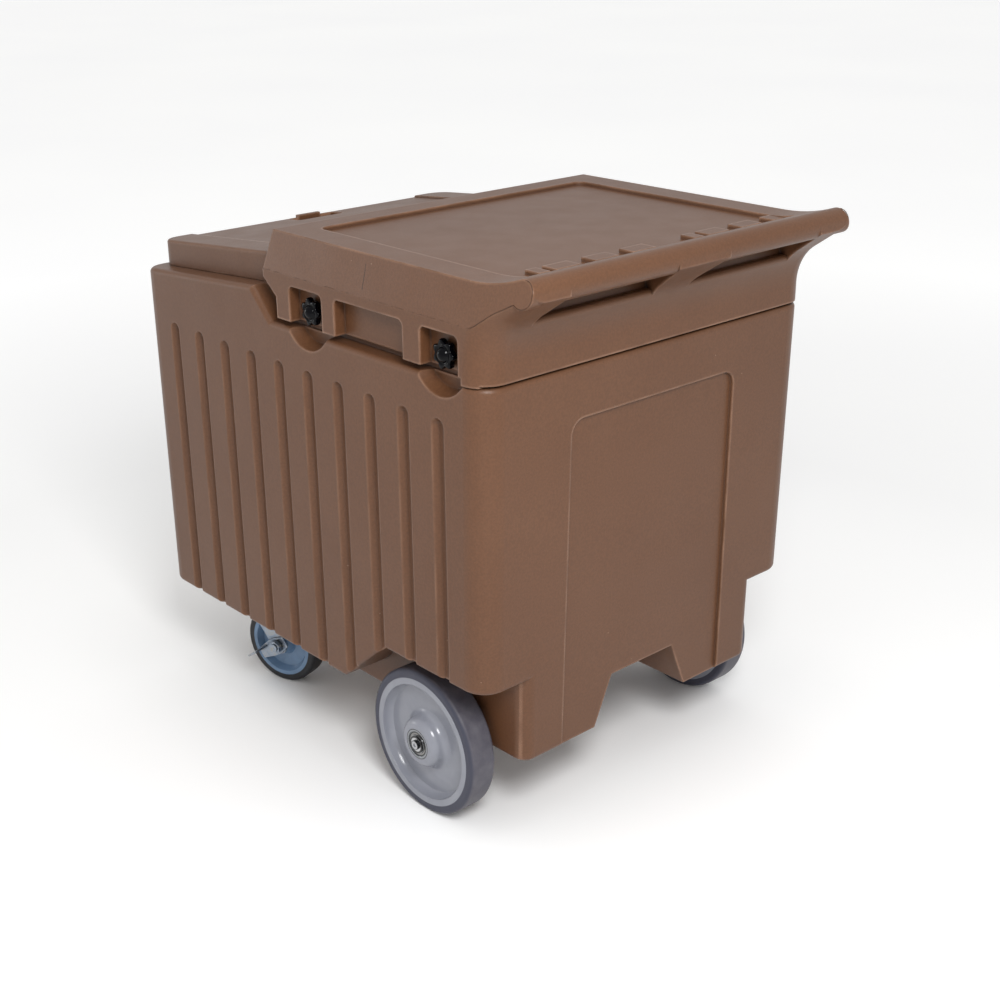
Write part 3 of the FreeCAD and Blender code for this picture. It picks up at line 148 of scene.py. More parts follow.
def object_place(tree):
    return add_node(tree, "ShaderNodeTexCoord").outputs["Object"]


def axes_of(tree, vector):
    return add_node(tree, "ShaderNodeSeparateXYZ", {"Vector": vector}).outputs


def noise(tree, place, size, detail, distortion=0.0):
    """Cloudy noise with features of a size in millimetres."""
    return add_node(tree, "ShaderNodeTexNoise", {
        "Vector": place, "Scale": per_mm(size), "Detail": detail, "Distortion": distortion}).outputs["Fac"]


def ramp(tree, factor, stops, steps=False):
    """Colour ramp from (place, colour) stops, for a factor socket; with steps it doesn't blend."""
    new = add_node(tree, "ShaderNodeValToRGB", {"Fac": factor})
    new.color_ramp.interpolation = "CONSTANT" if steps else "LINEAR"
    while len(new.color_ramp.elements) < len(stops):
        new.color_ramp.elements.new(0.5)
    for element, (place, colour) in zip(new.color_ramp.elements, stops):
        element.position = place
        element.color = colour
    return new.outputs["Color"]


def two_tone(tree, factor, first, second):
    """Ramp between two (place, sRGB hex) stops."""
    return ramp(tree, factor, [(place, linear(colour)) for place, colour in (first, second)])


def blend_colours(tree, factor, first, second, blend_type="MIX"):
    """Two colours mixed by a factor; the first or second may be a socket."""
    return add_node(tree, "ShaderNodeMix", {0: factor, 6: first, 7: second}, data_type="RGBA",
                    blend_type=blend_type).outputs[2]


def spread(tree, value, taken, given):
    """A value's span taken onto the span given, and held at its ends."""
    return add_node(tree, "ShaderNodeMapRange", {
        "Value": value, "From Min": taken[0], "From Max": taken[1], "To Min": given[0],
        "To Max": given[1]}).outputs["Result"]


def openness(tree, distance, samples, **settings):
    """How free the surface lies, 0 to 1, from what is within a distance in metres."""
    return add_node(tree, "ShaderNodeAmbientOcclusion", {"Distance": distance}, samples=samples,
                    **settings).outputs["AO"]


def soft_edges(tree, radius, samples=6):
    """Surface direction with the edges rounded by a radius in metres."""
    return add_node(tree, "ShaderNodeBevel", {"Radius": radius}, samples=samples).outputs["Normal"]


def bump(tree, height, strength, depth, under=None):
    """Surface direction with a relief of a depth in millimetres, on top of another one."""
    inputs = {"Height": height, "Strength": strength, "Distance": depth * MM}
    if under is not None:
        inputs["Normal"] = under
    return add_node(tree, "ShaderNodeBump", inputs).outputs["Normal"]


def paint(material, *names):
    """Gives CAD nodes a material."""
    for name in names:
        for slot in NODES[name].material_slots:
            slot.material = material


def new_piece(name, mesh, body, material):
    """A finished piece at the origin, on its body."""
    piece = bpy.data.objects.new(name, mesh)
    bpy.context.scene.collection.objects.link(piece)
    mesh.materials.clear()
    mesh.materials.append(material)
    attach(piece, body)
    return piece


# Materials


# Size of the cells that may hold a speck, in mm, a speck's radius as a share of its cell, and the
# share of cells that hold none.
SPECK_CELL, SPECK_RADIUS, SPECKLESS = 26, 0.028, 0.62

# Half width and half height of the scuff on the hood's side, and how far it wanders, in mm.
SCUFF_HALF_WIDTH, SCUFF_HALF_HEIGHT, SCUFF_WANDER = 0.75, 15, 5


def powder_colour(tree, place):
    """Brown with a faint cloud, a fine mottle from the powder and rare pin-head specks."""
    cloud = noise(tree, place, 160, 3.0)
    colour = two_tone(tree, cloud, (0.25, looks().mocha_dark), (0.75, looks().mocha_light))
    mottle = ramp(tree, noise(tree, place, 3, 2.0), [(0.35, grey(0.88)), (0.65, grey(1.03))])
    colour = blend_colours(tree, 1.0, colour, mottle, "MULTIPLY")
    cells = add_node(tree, "ShaderNodeTexVoronoi", {
        "Vector": place, "Scale": per_mm(SPECK_CELL), "Randomness": 1.0}).outputs
    lone = add_node(tree, "ShaderNodeSeparateColor", {"Color": cells["Color"]}).outputs["Red"]
    speck = calculate(tree, "MULTIPLY", calculate(tree, "LESS_THAN", cells["Distance"], SPECK_RADIUS),
                      calculate(tree, "GREATER_THAN", lone, SPECKLESS))
    return blend_colours(tree, speck, colour, linear(looks().mocha_speck))


def scuff_share(tree, place, axes):
    """1 on the one upright scuff on the right facet, about 1.5 mm wide and 30 mm tall."""
    back, height = sizes().scuff_place
    bent = calculate(tree, "MULTIPLY_ADD", noise(tree, place, 9, 3.0), SCUFF_WANDER * MM, axes["Y"])
    beside = calculate(tree, "COMPARE", bent, back, SCUFF_HALF_WIDTH * MM)
    level = calculate(tree, "COMPARE", axes["Z"], height, SCUFF_HALF_HEIGHT * MM)
    right = calculate(tree, "GREATER_THAN", axes["X"], 0.0)
    return calculate(tree, "MULTIPLY", calculate(tree, "MULTIPLY", beside, level), right)


def rotomoulded_polyethylene(name, facet_grain=False, rubbed_and_highlit_edges=True):
    """Linear polyethylene, rotomoulded: a deep dull brown, faintly cloudy from the powder,
    with a soft orange-peel skin, pin-head specks, a painted highlight along the outer edges, partly rubbed there
    and shinier, and painted shade in gaps and tight corners."""
    material, tree, shader = start_material(name, IOR=1.5, Specular_IOR_Level=0.33)
    place = object_place(tree)
    colour = powder_colour(tree, place)
    wear = noise(tree, place, 45, 5.0)
    rough = spread(tree, wear, (0.3, 0.7), (0.37, 0.42))
    if rubbed_and_highlit_edges:
        # how near an outer edge lies, seen from inside the wall; there the colour is painted paler as a
        # highlight, more where it has been rubbed
        buried = openness(tree, sizes().edge_round, 4, inside=True, only_local=True)
        rubbed_and_highlit = calculate(tree, "MULTIPLY", spread(tree, buried, (0.9, 0.55), (0.0, 1.0)),
                           spread(tree, wear, (0.35, 0.62), (0.35, 1.0)))
        colour = blend_colours(tree, rubbed_and_highlit, colour, linear(looks().mocha_edge_highlight))
        rough = calculate(tree, "MULTIPLY_ADD", rubbed_and_highlit, -0.14, rough)
    # painted shade: gaps and tight corners are darkened by how closed in they are
    shade = spread(tree, openness(tree, 9 * MM, 4), (0.15, 0.7), (0.25, 1.0))
    colour = blend_colours(tree, 1.0, colour, shade, "MULTIPLY")
    peel = noise(tree, place, 1.5, 2.0)
    relief = peel
    if facet_grain:
        axes = axes_of(tree, place)
        # the peel stands out more above the crease
        high = calculate(tree, "GREATER_THAN", axes["Z"], sizes().crease_height)
        relief = calculate(tree, "MULTIPLY", calculate(tree, "MULTIPLY_ADD", peel, high, 0.4), peel)
        colour = blend_colours(tree, scuff_share(tree, place, axes), colour, linear(looks().mocha_scuff))
    waves = bump(tree, noise(tree, place, 55, 1.0), 0.14, 0.9, soft_edges(tree, sizes().edge_round, 4))
    join(tree, shader, Base_Color=colour, Roughness=rough, Normal=bump(tree, relief, 0.6, 0.2, waves))
    return material


def rigid_foam():
    """Polyurethane foam, blown in place: pale yellow, dull and full of fine pores."""
    material, tree, shader = start_material("blown_polyurethane_foam", Roughness=0.9)
    pores = add_node(tree, "ShaderNodeTexVoronoi", {
        "Vector": object_place(tree), "Scale": per_mm(2.5)}).outputs["Distance"]
    join(tree, shader, Base_Color=two_tone(tree, pores, (0.0, "#b8a77a"), (0.6, "#e3d7ad")),
         Normal=bump(tree, pores, 0.5, 0.5))
    return material


def moulded_plastic(name, hex_dark, hex_light, roughness, grain_mm=1.2, grain=0.1, edge=0.8, gloss=0.5):
    """Injection-moulded plastic: an even, clean colour, a smooth sheen and rounded mould edges."""
    material, tree, shader = start_material(name, IOR=1.5, Specular_IOR_Level=gloss)
    place = object_place(tree)
    flow = noise(tree, place, 35, 4.0, 0.8)
    join(tree, shader, Base_Color=two_tone(tree, flow, (0.35, hex_dark), (0.65, hex_light)),
         Roughness=spread(tree, flow, (0.0, 1.0), (roughness * 0.92, roughness * 1.08)),
         Normal=bump(tree, noise(tree, place, grain_mm, 2.0), grain, 0.1, soft_edges(tree, edge * MM)))
    return material


def moulded_rubber(name, hex_dark, hex_light, roughness, hex_wall_shade=None):
    """Moulded rubber: dull, faintly dusty, with fine ring lines left by the mould on a tread and,
    where given, painted shade on its side walls: a darker, cooler colour where the surface faces sideways."""
    material, tree, shader = start_material(name, IOR=1.52, Specular_IOR_Level=0.35)
    coordinates = add_node(tree, "ShaderNodeTexCoord").outputs
    place = coordinates["Object"]
    dust = noise(tree, place, 18, 6.0)
    colour = two_tone(tree, dust, (0.38, hex_dark), (0.68, hex_light))
    if hex_wall_shade:
        # painted shade: where the surface faces sideways, as on the side walls, the colour turns darker and
        # cooler
        sideways = calculate(tree, "ABSOLUTE", axes_of(tree, coordinates["Normal"])["X"])
        wall = spread(tree, sideways, (0.35, 0.75), (0.0, 1.0))
        colour = blend_colours(tree, wall, colour, linear(hex_wall_shade))
    # mould lines 9.5 mm apart, each a tenth of that wide
    turns = calculate(tree, "MULTIPLY", axes_of(tree, place)["X"], per_mm(9.5))
    seam = calculate(tree, "COMPARE", calculate(tree, "FRACT", turns), 0.5, 0.05)
    lines = bump(tree, seam, 0.5, 0.25)
    join(tree, shader, Base_Color=colour,
         Roughness=spread(tree, dust, (0.0, 1.0), (roughness - 0.08, roughness + 0.12)),
         Normal=bump(tree, noise(tree, place, 0.9, 3.0), 0.25, 0.12, lines))
    return material


def zinc_plated_steel():
    """Pressed steel, zinc plated and passivated: bright grey with a faint blue and gold cast,
    with painted shade in its corners and under its bolts."""
    material, tree, shader = start_material(ZINC, Metallic=1.0)
    place = object_place(tree)
    colour = ramp(tree, noise(tree, place, 14, 3.0, 1.2), [
        (0.3, linear("#818d9c")), (0.5, linear("#9ba4b0")), (0.72, linear("#a39f96"))])
    # painted shade: darker where the surface is closed in, in corners and under bolts
    corner_shade = spread(tree, openness(tree, 7 * MM, 6), (0.8, 0.35), (0.0, 1.0))
    grain = noise(tree, place, 1.1, 4.0)
    join(tree, shader, Base_Color=blend_colours(tree, corner_shade, colour, linear("#15181c")),
         Roughness=spread(tree, grain, (0.3, 0.7), (0.24, 0.42)),
         Normal=bump(tree, grain, 0.12, 0.08, soft_edges(tree, 0.5 * MM)))
    return material


# Bands outwards from the axle's middle: radius in mm, sRGB hex, metal (1) or not (0).
PLAIN_BANDS = ((0.0, "#7f8184", 1.0), (11.8, "#96989a", 1.0))
# painted shade in the gap, pressed shield, painted shade in the groove, ground outer race and a painted shade
# line at its outer edge
BEARING_BANDS = ((0.0, "#040405", 0.0), (13.2, "#8f8e8c", 1.0), (15.4, "#030304", 0.0),
                 (17.3, "#979a9e", 1.0), (20.0, "#1b1b1d", 0.0))
# screw head, painted shadow line at its rim, washer, painted shade beyond it
SCREW_BANDS = ((0.0, "#b9babd", 1.0), (5.7, "#2a2a2c", 1.0), (6.6, "#c3c4c6", 1.0), (9.6, "#040405", 0.0))
# radius in mm at the ramps' end
BANDS_END = 30.0


def turned_steel(name, ring_mm, bands=PLAIN_BANDS):
    """Bearing steel, ground and polished: bright, with fine turning rings round the axle. Its bands
    set apart a bearing's rings and shield, with painted shade in the gaps between them."""
    material, tree, shader = start_material(name)
    place = object_place(tree)
    centred = calculate_vectors(tree, "ADD", place, tuple(-value for value in middle("rear_axle")))[0]
    flat = calculate_vectors(tree, "MULTIPLY", centred, (0.0, 1.0, 1.0))[0]
    radius = calculate_vectors(tree, "LENGTH", flat)["Value"]
    share = calculate(tree, "MULTIPLY", radius, per_mm(BANDS_END))
    rings = calculate(tree, "SINE", calculate(tree, "MULTIPLY", radius, 2 * math.pi * per_mm(ring_mm)))
    join(tree, shader,
         Base_Color=ramp(tree, share, [(r / BANDS_END, linear(colour)) for r, colour, metal in bands], True),
         Metallic=ramp(tree, share, [(r / BANDS_END, grey(metal)) for r, colour, metal in bands], True),
         Roughness=spread(tree, noise(tree, place, 6, 3.0), (0.0, 1.0), (0.1, 0.26)),
         Normal=bump(tree, rings, 0.06, 0.03, soft_edges(tree, 0.5 * MM)))
    return material


def turned_brass():
    """Free-cutting brass, turned: warm yellow metal, softly dulled by handling."""
    material, tree, shader = start_material("turned_brass", Metallic=1.0)
    stain = noise(tree, object_place(tree), 5, 4.0)
    join(tree, shader, Base_Color=two_tone(tree, stain, (0.3, "#9c7a3c"), (0.7, "#caa55c")),
         Roughness=spread(tree, stain, (0.0, 1.0), (0.25, 0.45)))
    return material


def opal_light_table():
    """Opal acrylic: an even, dull, near-white floor, lit from beneath well away from the object."""
    material, tree, shader = start_material(
        "opal_acrylic_light_table", Roughness=0.95, Specular_IOR_Level=0.1, Emission_Color=WHITE)
    place = object_place(tree)
    away = calculate_vectors(tree, "LENGTH", place)["Value"]
    cloud = add_node(tree, "ShaderNodeTexNoise", {
        "Vector": place, "Scale": 0.7, "Detail": 2.0}).outputs["Fac"]
    join(tree, shader, Base_Color=two_tone(tree, cloud, (0.3, "#f6f6f6"), (0.7, "#f9f9f8")),
         Emission_Strength=spread(tree, away, (1.2, 3.0), (0.0, 0.22)))
    return material


# Rule-made pieces


def start_group(name, sockets):
    """A new geometry node group with named inputs; returns the group and its input sockets."""
    tree = bpy.data.node_groups.new(name, "GeometryNodeTree")
    for socket, kind in sockets:
        tree.interface.new_socket(socket, in_out="INPUT", socket_type="NodeSocket" + kind)
    tree.interface.new_socket("Geometry", in_out="OUTPUT", socket_type="NodeSocketGeometry")
    return tree, add_node(tree, "NodeGroupInput").outputs


def end_group(tree, geometry, material):
    """Ends a group in Realize Instances and Set Material."""
    real = add_node(tree, "GeometryNodeRealizeInstances", {"Geometry": geometry})
    done = add_node(tree, "GeometryNodeSetMaterial", {"Geometry": real.outputs[0], "Material": material})
    add_node(tree, "NodeGroupOutput", {0: done.outputs[0]})
    return tree


def mesh_from_tree(tree, values, start=None):
    """Plain mesh made by a node group from a start mesh or none, with its named inputs set before
    it is first evaluated."""
    start = start or bpy.data.meshes.new(tree.name)
    maker = bpy.data.objects.new(start.name, start)
    bpy.context.scene.collection.objects.link(maker)
    modifier = maker.modifiers.new(tree.name, "NODES")
    modifier.node_group = tree
    sockets = {item.name: item.identifier for item in tree.interface.items_tree if item.in_out == "INPUT"}
    for name, value in values.items():
        modifier[sockets[name]] = value
    maker.update_tag()
    bpy.context.view_layer.update()
    mesh = bpy.data.meshes.new_from_object(maker.evaluated_get(bpy.context.evaluated_depsgraph_get()))
    bpy.data.objects.remove(maker)
    return mesh


def face_outwards(mesh, flip_x=False):
    """Merges doubles, optionally mirrors across the middle plane, and turns the faces outwards."""
    shape = bmesh.new()
    shape.from_mesh(mesh)
    bmesh.ops.remove_doubles(shape, verts=shape.verts, dist=WELD / 2)
    if flip_x:
        bmesh.ops.scale(shape, vec=(-1, 1, 1), verts=shape.verts)
    bmesh.ops.recalc_face_normals(shape, faces=shape.faces)
    shape.to_mesh(mesh)
    shape.free()


def float_curve(tree, factor, values):
    """A curve node that gives each row of a profile its own value, from values between 0 and 1."""
    new = add_node(tree, "ShaderNodeFloatCurve", {"Value": factor})
    curve = new.mapping.curves[0]
    last = len(values) - 1
    while len(curve.points) < len(values):
        curve.points.new(0.5, 0.5)
    for i, (point, value) in enumerate(zip(curve.points, values)):
        point.location = (i / last, value)
        point.handle_type = "VECTOR"
    new.mapping.update()
    return new.outputs["Value"]


# Section of a knob: axial place in mm from its back, radius in mm, and how much the lobes count.
KNOB_SECTION = (
    (0.0, 0.0, 0.0), (0.0, 9.4, 0.0), (0.3, 10.0, 0.0), (1.6, 10.2, 0.0), (1.9, 11.6, 0.4),
    (2.1, 15.0, 0.9), (2.7, 16.0, 1.0), (3.8, 16.5, 1.0), (6.0, 16.6, 1.0), (8.4, 16.5, 1.0),
    (9.4, 16.1, 1.0), (10.1, 15.4, 1.0), (10.5, 14.5, 0.9), (10.7, 13.6, 0.6), (10.75, 12.9, 0.2),
    (10.6, 12.2, 0.0), (10.2, 11.5, 0.0), (9.8, 10.9, 0.0), (9.5, 10.2, 0.0), (9.45, 9.6, 0.0),
    (10.3, 9.1, 0.0), (11.3, 8.5, 0.0), (12.3, 7.75, 0.0), (13.2, 6.85, 0.0), (14.0, 5.9, 0.0),
    (14.65, 4.8, 0.0), (15.2, 3.6, 0.0), (15.55, 2.45, 0.0), (15.75, 1.5, 0.0), (15.83, 0.7, 0.0),
    (15.85, 0.0, 0.0),
)
# steps round a knob, 20 to each of its seven lobes
KNOB_STEPS = 140


def knob_tree(material):
    """Node group of one star knob along +X: a grid rolled round the axis, its radius lobed."""
    tree, given = start_group("star_knob", (("Lobes", "Int"), ("Lobe Depth", "Float"), ("Back", "Vector")))
    grid = add_node(tree, "GeometryNodeMeshGrid", {
        "Size X": 1.0, "Size Y": 1.0, "Vertices X": KNOB_STEPS + 1, "Vertices Y": len(KNOB_SECTION)})
    spot = axes_of(tree, add_node(tree, "GeometryNodeInputPosition").outputs[0])
    across = calculate(tree, "ADD", spot["Y"], 0.5)
    angle = calculate(tree, "MULTIPLY", spot["X"], 2 * math.pi)
    places, radii, weights = zip(*KNOB_SECTION)
    deep, wide = max(places), max(radii)
    axial = float_curve(tree, across, [value / deep for value in places])
    radial = float_curve(tree, across, [value / wide for value in radii])
    weight = float_curve(tree, across, weights)
    wave = calculate(tree, "COSINE", calculate(tree, "MULTIPLY", angle, given["Lobes"]))
    lobe = calculate(tree, "MULTIPLY", calculate(tree, "MULTIPLY", wave, given["Lobe Depth"]), weight)
    reach = calculate(tree, "MULTIPLY_ADD", radial, wide * MM, lobe)
    rolled = add_node(tree, "ShaderNodeCombineXYZ", {
        "X": calculate(tree, "MULTIPLY", axial, deep * MM),
        "Y": calculate(tree, "MULTIPLY", reach, calculate(tree, "COSINE", angle)),
        "Z": calculate(tree, "MULTIPLY", reach, calculate(tree, "SINE", angle))}).outputs[0]
    placed = calculate_vectors(tree, "ADD", rolled, given["Back"])[0]
    shape = add_node(tree, "GeometryNodeSetPosition", {"Geometry": grid.outputs["Mesh"], "Position": placed})
    closed = add_node(tree, "GeometryNodeMergeByDistance", {"Geometry": shape.outputs[0], "Distance": WELD})
    smooth = add_node(tree, "GeometryNodeSetShadeSmooth", {"Geometry": closed.outputs[0]})
    return end_group(tree, smooth.outputs[0], material)


# How alike a face must point to be on the facet, as a cosine, and how far off the crease an edge may lie.
FACET_MATCH, CREASE_SLACK = 0.9995, 0.5 * MM


def crease_path(sign):
    """The hood's side crease from its front corner back, then the facet's rear edge up the flare;
    walked along the hood's mesh, lifted by the bead and held within the CAD model's box."""
    shape = bmesh.new()
    shape.from_mesh(NODES["hood"].data)
    bmesh.ops.remove_doubles(shape, verts=shape.verts, dist=WELD)
    lean = Vector((sign * sizes().facet_normal[0], 0.0, sizes().facet_normal[1])).normalized()
    beside = {}
    for edge in shape.edges:
        if len(edge.link_faces) != 2:
            continue
        on_facet = [face.normal.dot(lean) > FACET_MATCH for face in edge.link_faces]
        ends = [vert.co for vert in edge.verts]
        on_crease = all(abs(end.z - sizes().crease_height) < CREASE_SLACK for end in ends)
        below_top = max(end.z for end in ends) < sizes().crease_top
        past_bar = min(end.y for end in ends) > sizes().bar_centre
        on_flare = all(sizes().corner_start < end.y for end in ends) and (below_top or past_bar)
        if on_facet[0] != on_facet[1] and (on_crease or on_flare):
            for one, other in (edge.verts, reversed(edge.verts)):
                beside.setdefault(one.index, []).append(other.index)
    spots = {vert.index: vert.co.copy() for vert in shape.verts}
    shape.free()
    path = [min(beside, key=lambda i: spots[i].y)]
    while True:
        ahead = [i for i in beside[path[-1]] if i not in path]
        if not ahead:
            break
        path.append(ahead[0])
    radius = sizes().bead_radius
    lift = Vector((0.0, 0.0, 2.0 * radius))
    low, high = [Vector(corner) for corner in CAD_BOX]
    inside = Vector((1.2 * radius,) * 3)
    return [Vector(map(max, low + inside, map(min, high - inside, spots[i] + lift))) for i in path]


# Length of a bead's steps in metres, the seed of its uneven thickness, its sides, and its least and
# greatest share of the bead's radius.
BEAD_STEP, BEAD_SEED, BEAD_SIDES = 0.004, 3, 6
BEAD_LEAST, BEAD_MOST = 0.55, 1.15


def bead_tree(material):
    """Node group that lays a thin, uneven flash bead along a curve."""
    tree, given = start_group("flash_bead", (
        ("Geometry", "Geometry"), ("Bead Radius", "Float"), ("Step", "Float"), ("Seed", "Int")))
    curve = add_node(tree, "GeometryNodeMeshToCurve", {"Mesh": given["Geometry"]})
    fine = add_node(tree, "GeometryNodeResampleCurve", {"Curve": curve.outputs[0], "Length": given["Step"]},
                    mode="LENGTH")
    # inputs 2 and 3 and output 1 are those for single numbers
    chance = add_node(tree, "FunctionNodeRandomValue", {2: BEAD_LEAST, 3: BEAD_MOST, "Seed": given["Seed"]},
                      data_type="FLOAT")
    size = calculate(tree, "MULTIPLY", chance.outputs[1], given["Bead Radius"])
    section = add_node(tree, "GeometryNodeCurvePrimitiveCircle", {"Resolution": BEAD_SIDES, "Radius": 1.0})
    shaped = add_node(tree, "GeometryNodeSetCurveRadius", {"Curve": fine.outputs[0], "Radius": size})
    swept = add_node(tree, "GeometryNodeCurveToMesh", {
        "Curve": shaped.outputs[0], "Profile Curve": section.outputs[0], "Scale": size, "Fill Caps": True})
    return end_group(tree, swept.outputs[0], material)


# Settings that a user would change


class IceBinSizes(bpy.types.PropertyGroup):
    edge_round: bpy.props.FloatProperty(
        name="Edge Round", description="Radius of the soft edges of the mouldings", default=0.0034,
        unit="LENGTH")
    crease_height: bpy.props.FloatProperty(
        name="Crease Height", description="Height of the crease along the hood's sides", default=0.691,
        unit="LENGTH")
    crease_top: bpy.props.FloatProperty(
        name="Crease Top", description="Height up to which the bead runs up the flare", default=0.742,
        unit="LENGTH")
    bar_centre: bpy.props.FloatProperty(
        name="Bar Centre", description="Where the grip bar's middle lies; the bead ends behind it",
        default=0.3865, unit="LENGTH")
    corner_start: bpy.props.FloatProperty(
        name="Corner Start", description="Where the hood's rear corners start to round", default=0.301,
        unit="LENGTH")
    facet_normal: bpy.props.FloatVectorProperty(
        name="Facet Direction", description="Outward and upward parts of the direction the side facets face",
        default=(52.0, 12.0), size=2)
    scuff_place: bpy.props.FloatVectorProperty(
        name="Scuff Place", description="How far back and how high the scuff on the hood's side lies",
        default=(0.1215, 0.716), size=2, unit="LENGTH")
    bead_radius: bpy.props.FloatProperty(
        name="Bead Radius", description="Half thickness of the mould's flash line", default=0.0006,
        unit="LENGTH")
    knob_lobes: bpy.props.IntProperty(
        name="Knob Lobes", description="Number of lobes of each star knob", default=7, min=3, max=12)
    knob_lobe_depth: bpy.props.FloatProperty(
        name="Lobe Depth", description="Half the height of a knob's lobes", default=0.002, unit="LENGTH")


class IceBinLooks(bpy.types.PropertyGroup):
    mocha_dark: bpy.props.StringProperty(
        name="Mocha Dark", description="Darker shade of the moulded plastic, sRGB hex", default="#5c3c27")
    mocha_light: bpy.props.StringProperty(
        name="Mocha Light", description="Lighter shade of the moulded plastic, sRGB hex", default="#61412c")
    # painted highlight colour for the mouldings' outer edges, partly rubbed wear
    mocha_edge_highlight: bpy.props.StringProperty(
        name="Mocha Edge", description="Colour of the rubbed edges, sRGB hex", default="#94715b")
    mocha_scuff: bpy.props.StringProperty(
        name="Mocha Scuff", description="Colour of the scuff on the hood's side, sRGB hex", default="#3b2416")
    mocha_speck: bpy.props.StringProperty(
        name="Mocha Speck", description="Colour of the pin-head specks, sRGB hex", default="#8a6f5c")
    tyre_dark: bpy.props.StringProperty(
        name="Tyre Dark", description="Darker shade of the rear tyres, sRGB hex", default="#48464f")
    tyre_light: bpy.props.StringProperty(
        name="Tyre Light", description="Lighter shade of the rear tyres, sRGB hex", default="#56545b")
    # painted shade colour of the tyres' side walls, darker and cooler than the tread
    tyre_wall_shade: bpy.props.StringProperty(
        name="Tyre Wall", description="Shade of the rear tyres' side walls, sRGB hex", default="#393a47")
    light_power: bpy.props.FloatProperty(
        name="Light Power", description="Power in watts that the lamps take their shares of", default=40.0)
    room_light: bpy.props.FloatProperty(
        name="Room Light", description="Strength of the even light from all round", default=0.76)


# Operators, one for each piece or group of like pieces


class ICEBIN_OT_mouldings(bpy.types.Operator):
    """Finish the rotomoulded bin, hood and lid, the drain shelf and the foam inside"""
    bl_idname = "ice_bin.mouldings"
    bl_label = "Mouldings"

    def execute(self, context):
        paint(rotomoulded_polyethylene("rotomoulded_polyethylene"), "bin_shell", "lid_shell")
        paint(rotomoulded_polyethylene("rotomoulded_polyethylene_grained", facet_grain=True), "hood")
        paint(moulded_plastic("moulded_polyethylene_shelf", "#c9cbc9", "#d8dad6", 0.4), "drain_shelf")
        paint(rigid_foam(), "foam_core", "lid_foam")
        return {"FINISHED"}


class ICEBIN_OT_flash_beads(bpy.types.Operator):
    """Lay the thin flash line that the mould leaves along the hood's side creases"""
    bl_idname = "ice_bin.flash_beads"
    bl_label = "Flash Lines"

    def execute(self, context):
        material = rotomoulded_polyethylene("rotomoulded_polyethylene_flash", rubbed_and_highlit_edges=False)
        tree = bead_tree(material)
        values = {"Bead Radius": sizes().bead_radius, "Step": BEAD_STEP, "Seed": BEAD_SEED}
        for side, sign in SIDES.items():
            points = crease_path(sign)
            if len(points) < 3:
                raise RuntimeError("the hood's crease was not found")
            line = bpy.data.meshes.new("crease_" + side)
            line.from_pydata(points, [(i, i + 1) for i in range(len(points) - 1)], [])
            mesh = mesh_from_tree(tree, values, line)
            face_outwards(mesh)
            new_piece("flash_line_" + side, mesh, "bin", material)
        return {"FINISHED"}


class ICEBIN_OT_star_knobs(bpy.types.Operator):
    """Make the lobed black knobs that hold the hood, with their studs and inserts"""
    bl_idname = "ice_bin.star_knobs"
    bl_label = "Star Knobs"

    def execute(self, context):
        black = moulded_plastic(
            "moulded_phenolic_black", "#010103", "#020205", 0.05, grain_mm=2.0, grain=0.02, edge=0.3, gloss=0.13)
        zinc = zinc_plated_steel()
        tree = knob_tree(black)
        for side, sign in SIDES.items():
            for row in KNOB_ROWS:
                place = row + "_" + side
                back = min(abs(corner[0]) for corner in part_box("knob_" + place))
                y, z = middle("stud_" + place)[1:]
                mesh = mesh_from_tree(tree, {
                    "Lobes": sizes().knob_lobes, "Lobe Depth": sizes().knob_lobe_depth, "Back": (back, y, z)})
                face_outwards(mesh, sign < 0)
                piece = new_piece("star_knob_" + place, mesh, "knob_" + place, black)
                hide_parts("knob_" + place)
                paint(zinc, "stud_" + place)
        paint(turned_brass(), "knob_inserts")
        return {"FINISHED"}


class ICEBIN_OT_rear_wheels(bpy.types.Operator):
    """Finish the rear hubs, tyres and bearings, the axle and its straps"""
    bl_idname = "ice_bin.rear_wheels"
    bl_label = "Rear Wheels"

    def execute(self, context):
        hub = moulded_plastic(
            "moulded_polypropylene_hub", "#7f818a", "#85878f", 0.2, grain_mm=3.0, grain=0.05, edge=1.6)
        rubber = moulded_rubber("moulded_grey_rubber", looks().tyre_dark, looks().tyre_light, 0.5,
                                looks().tyre_wall_shade)
        for side in SIDES:
            paint(hub, "wheel_hub_" + side)
            paint(rubber, "wheel_tyre_" + side)
            bearing = turned_steel("shielded_bearing_steel_" + side, 0.7, BEARING_BANDS)
            paint(bearing, "wheel_bearings_" + side)
        ground = turned_steel("ground_bearing_steel", 0.5)
        paint(ground, "bearing_inner_races", "bearing_spacers", "rear_axle")
        paint(turned_steel("turned_screw_steel", 0.5, SCREW_BANDS), "axle_end_washers", "axle_end_screws")
        paint(bpy.data.materials[ZINC], "axle_straps", "strap_screws")
        return {"FINISHED"}


class ICEBIN_OT_casters(bpy.types.Operator):
    """Finish the two swivel casters with their brakes and bolts"""
    bl_idname = "ice_bin.casters"
    bl_label = "Swivel Casters"

    def execute(self, context):
        zinc = bpy.data.materials[ZINC]
        hub = moulded_plastic(
            "moulded_blue_grey_hub", "#5d7590", "#6b86a4", 0.26, grain_mm=2.5, grain=0.05, edge=1.0)
        rubber = moulded_rubber("moulded_black_rubber", "#19191b", "#27272a", 0.45)
        for side in SIDES:
            paint(hub, "caster_hub_" + side)
            paint(rubber, "caster_tyre_" + side)
            for part in ("plate", "kingpin", "fork", "wheel_bolt", "wheel_nut", "brake_lever"):
                paint(zinc, "caster_" + part + "_" + side)
        paint(zinc, "caster_bolts")
        return {"FINISHED"}


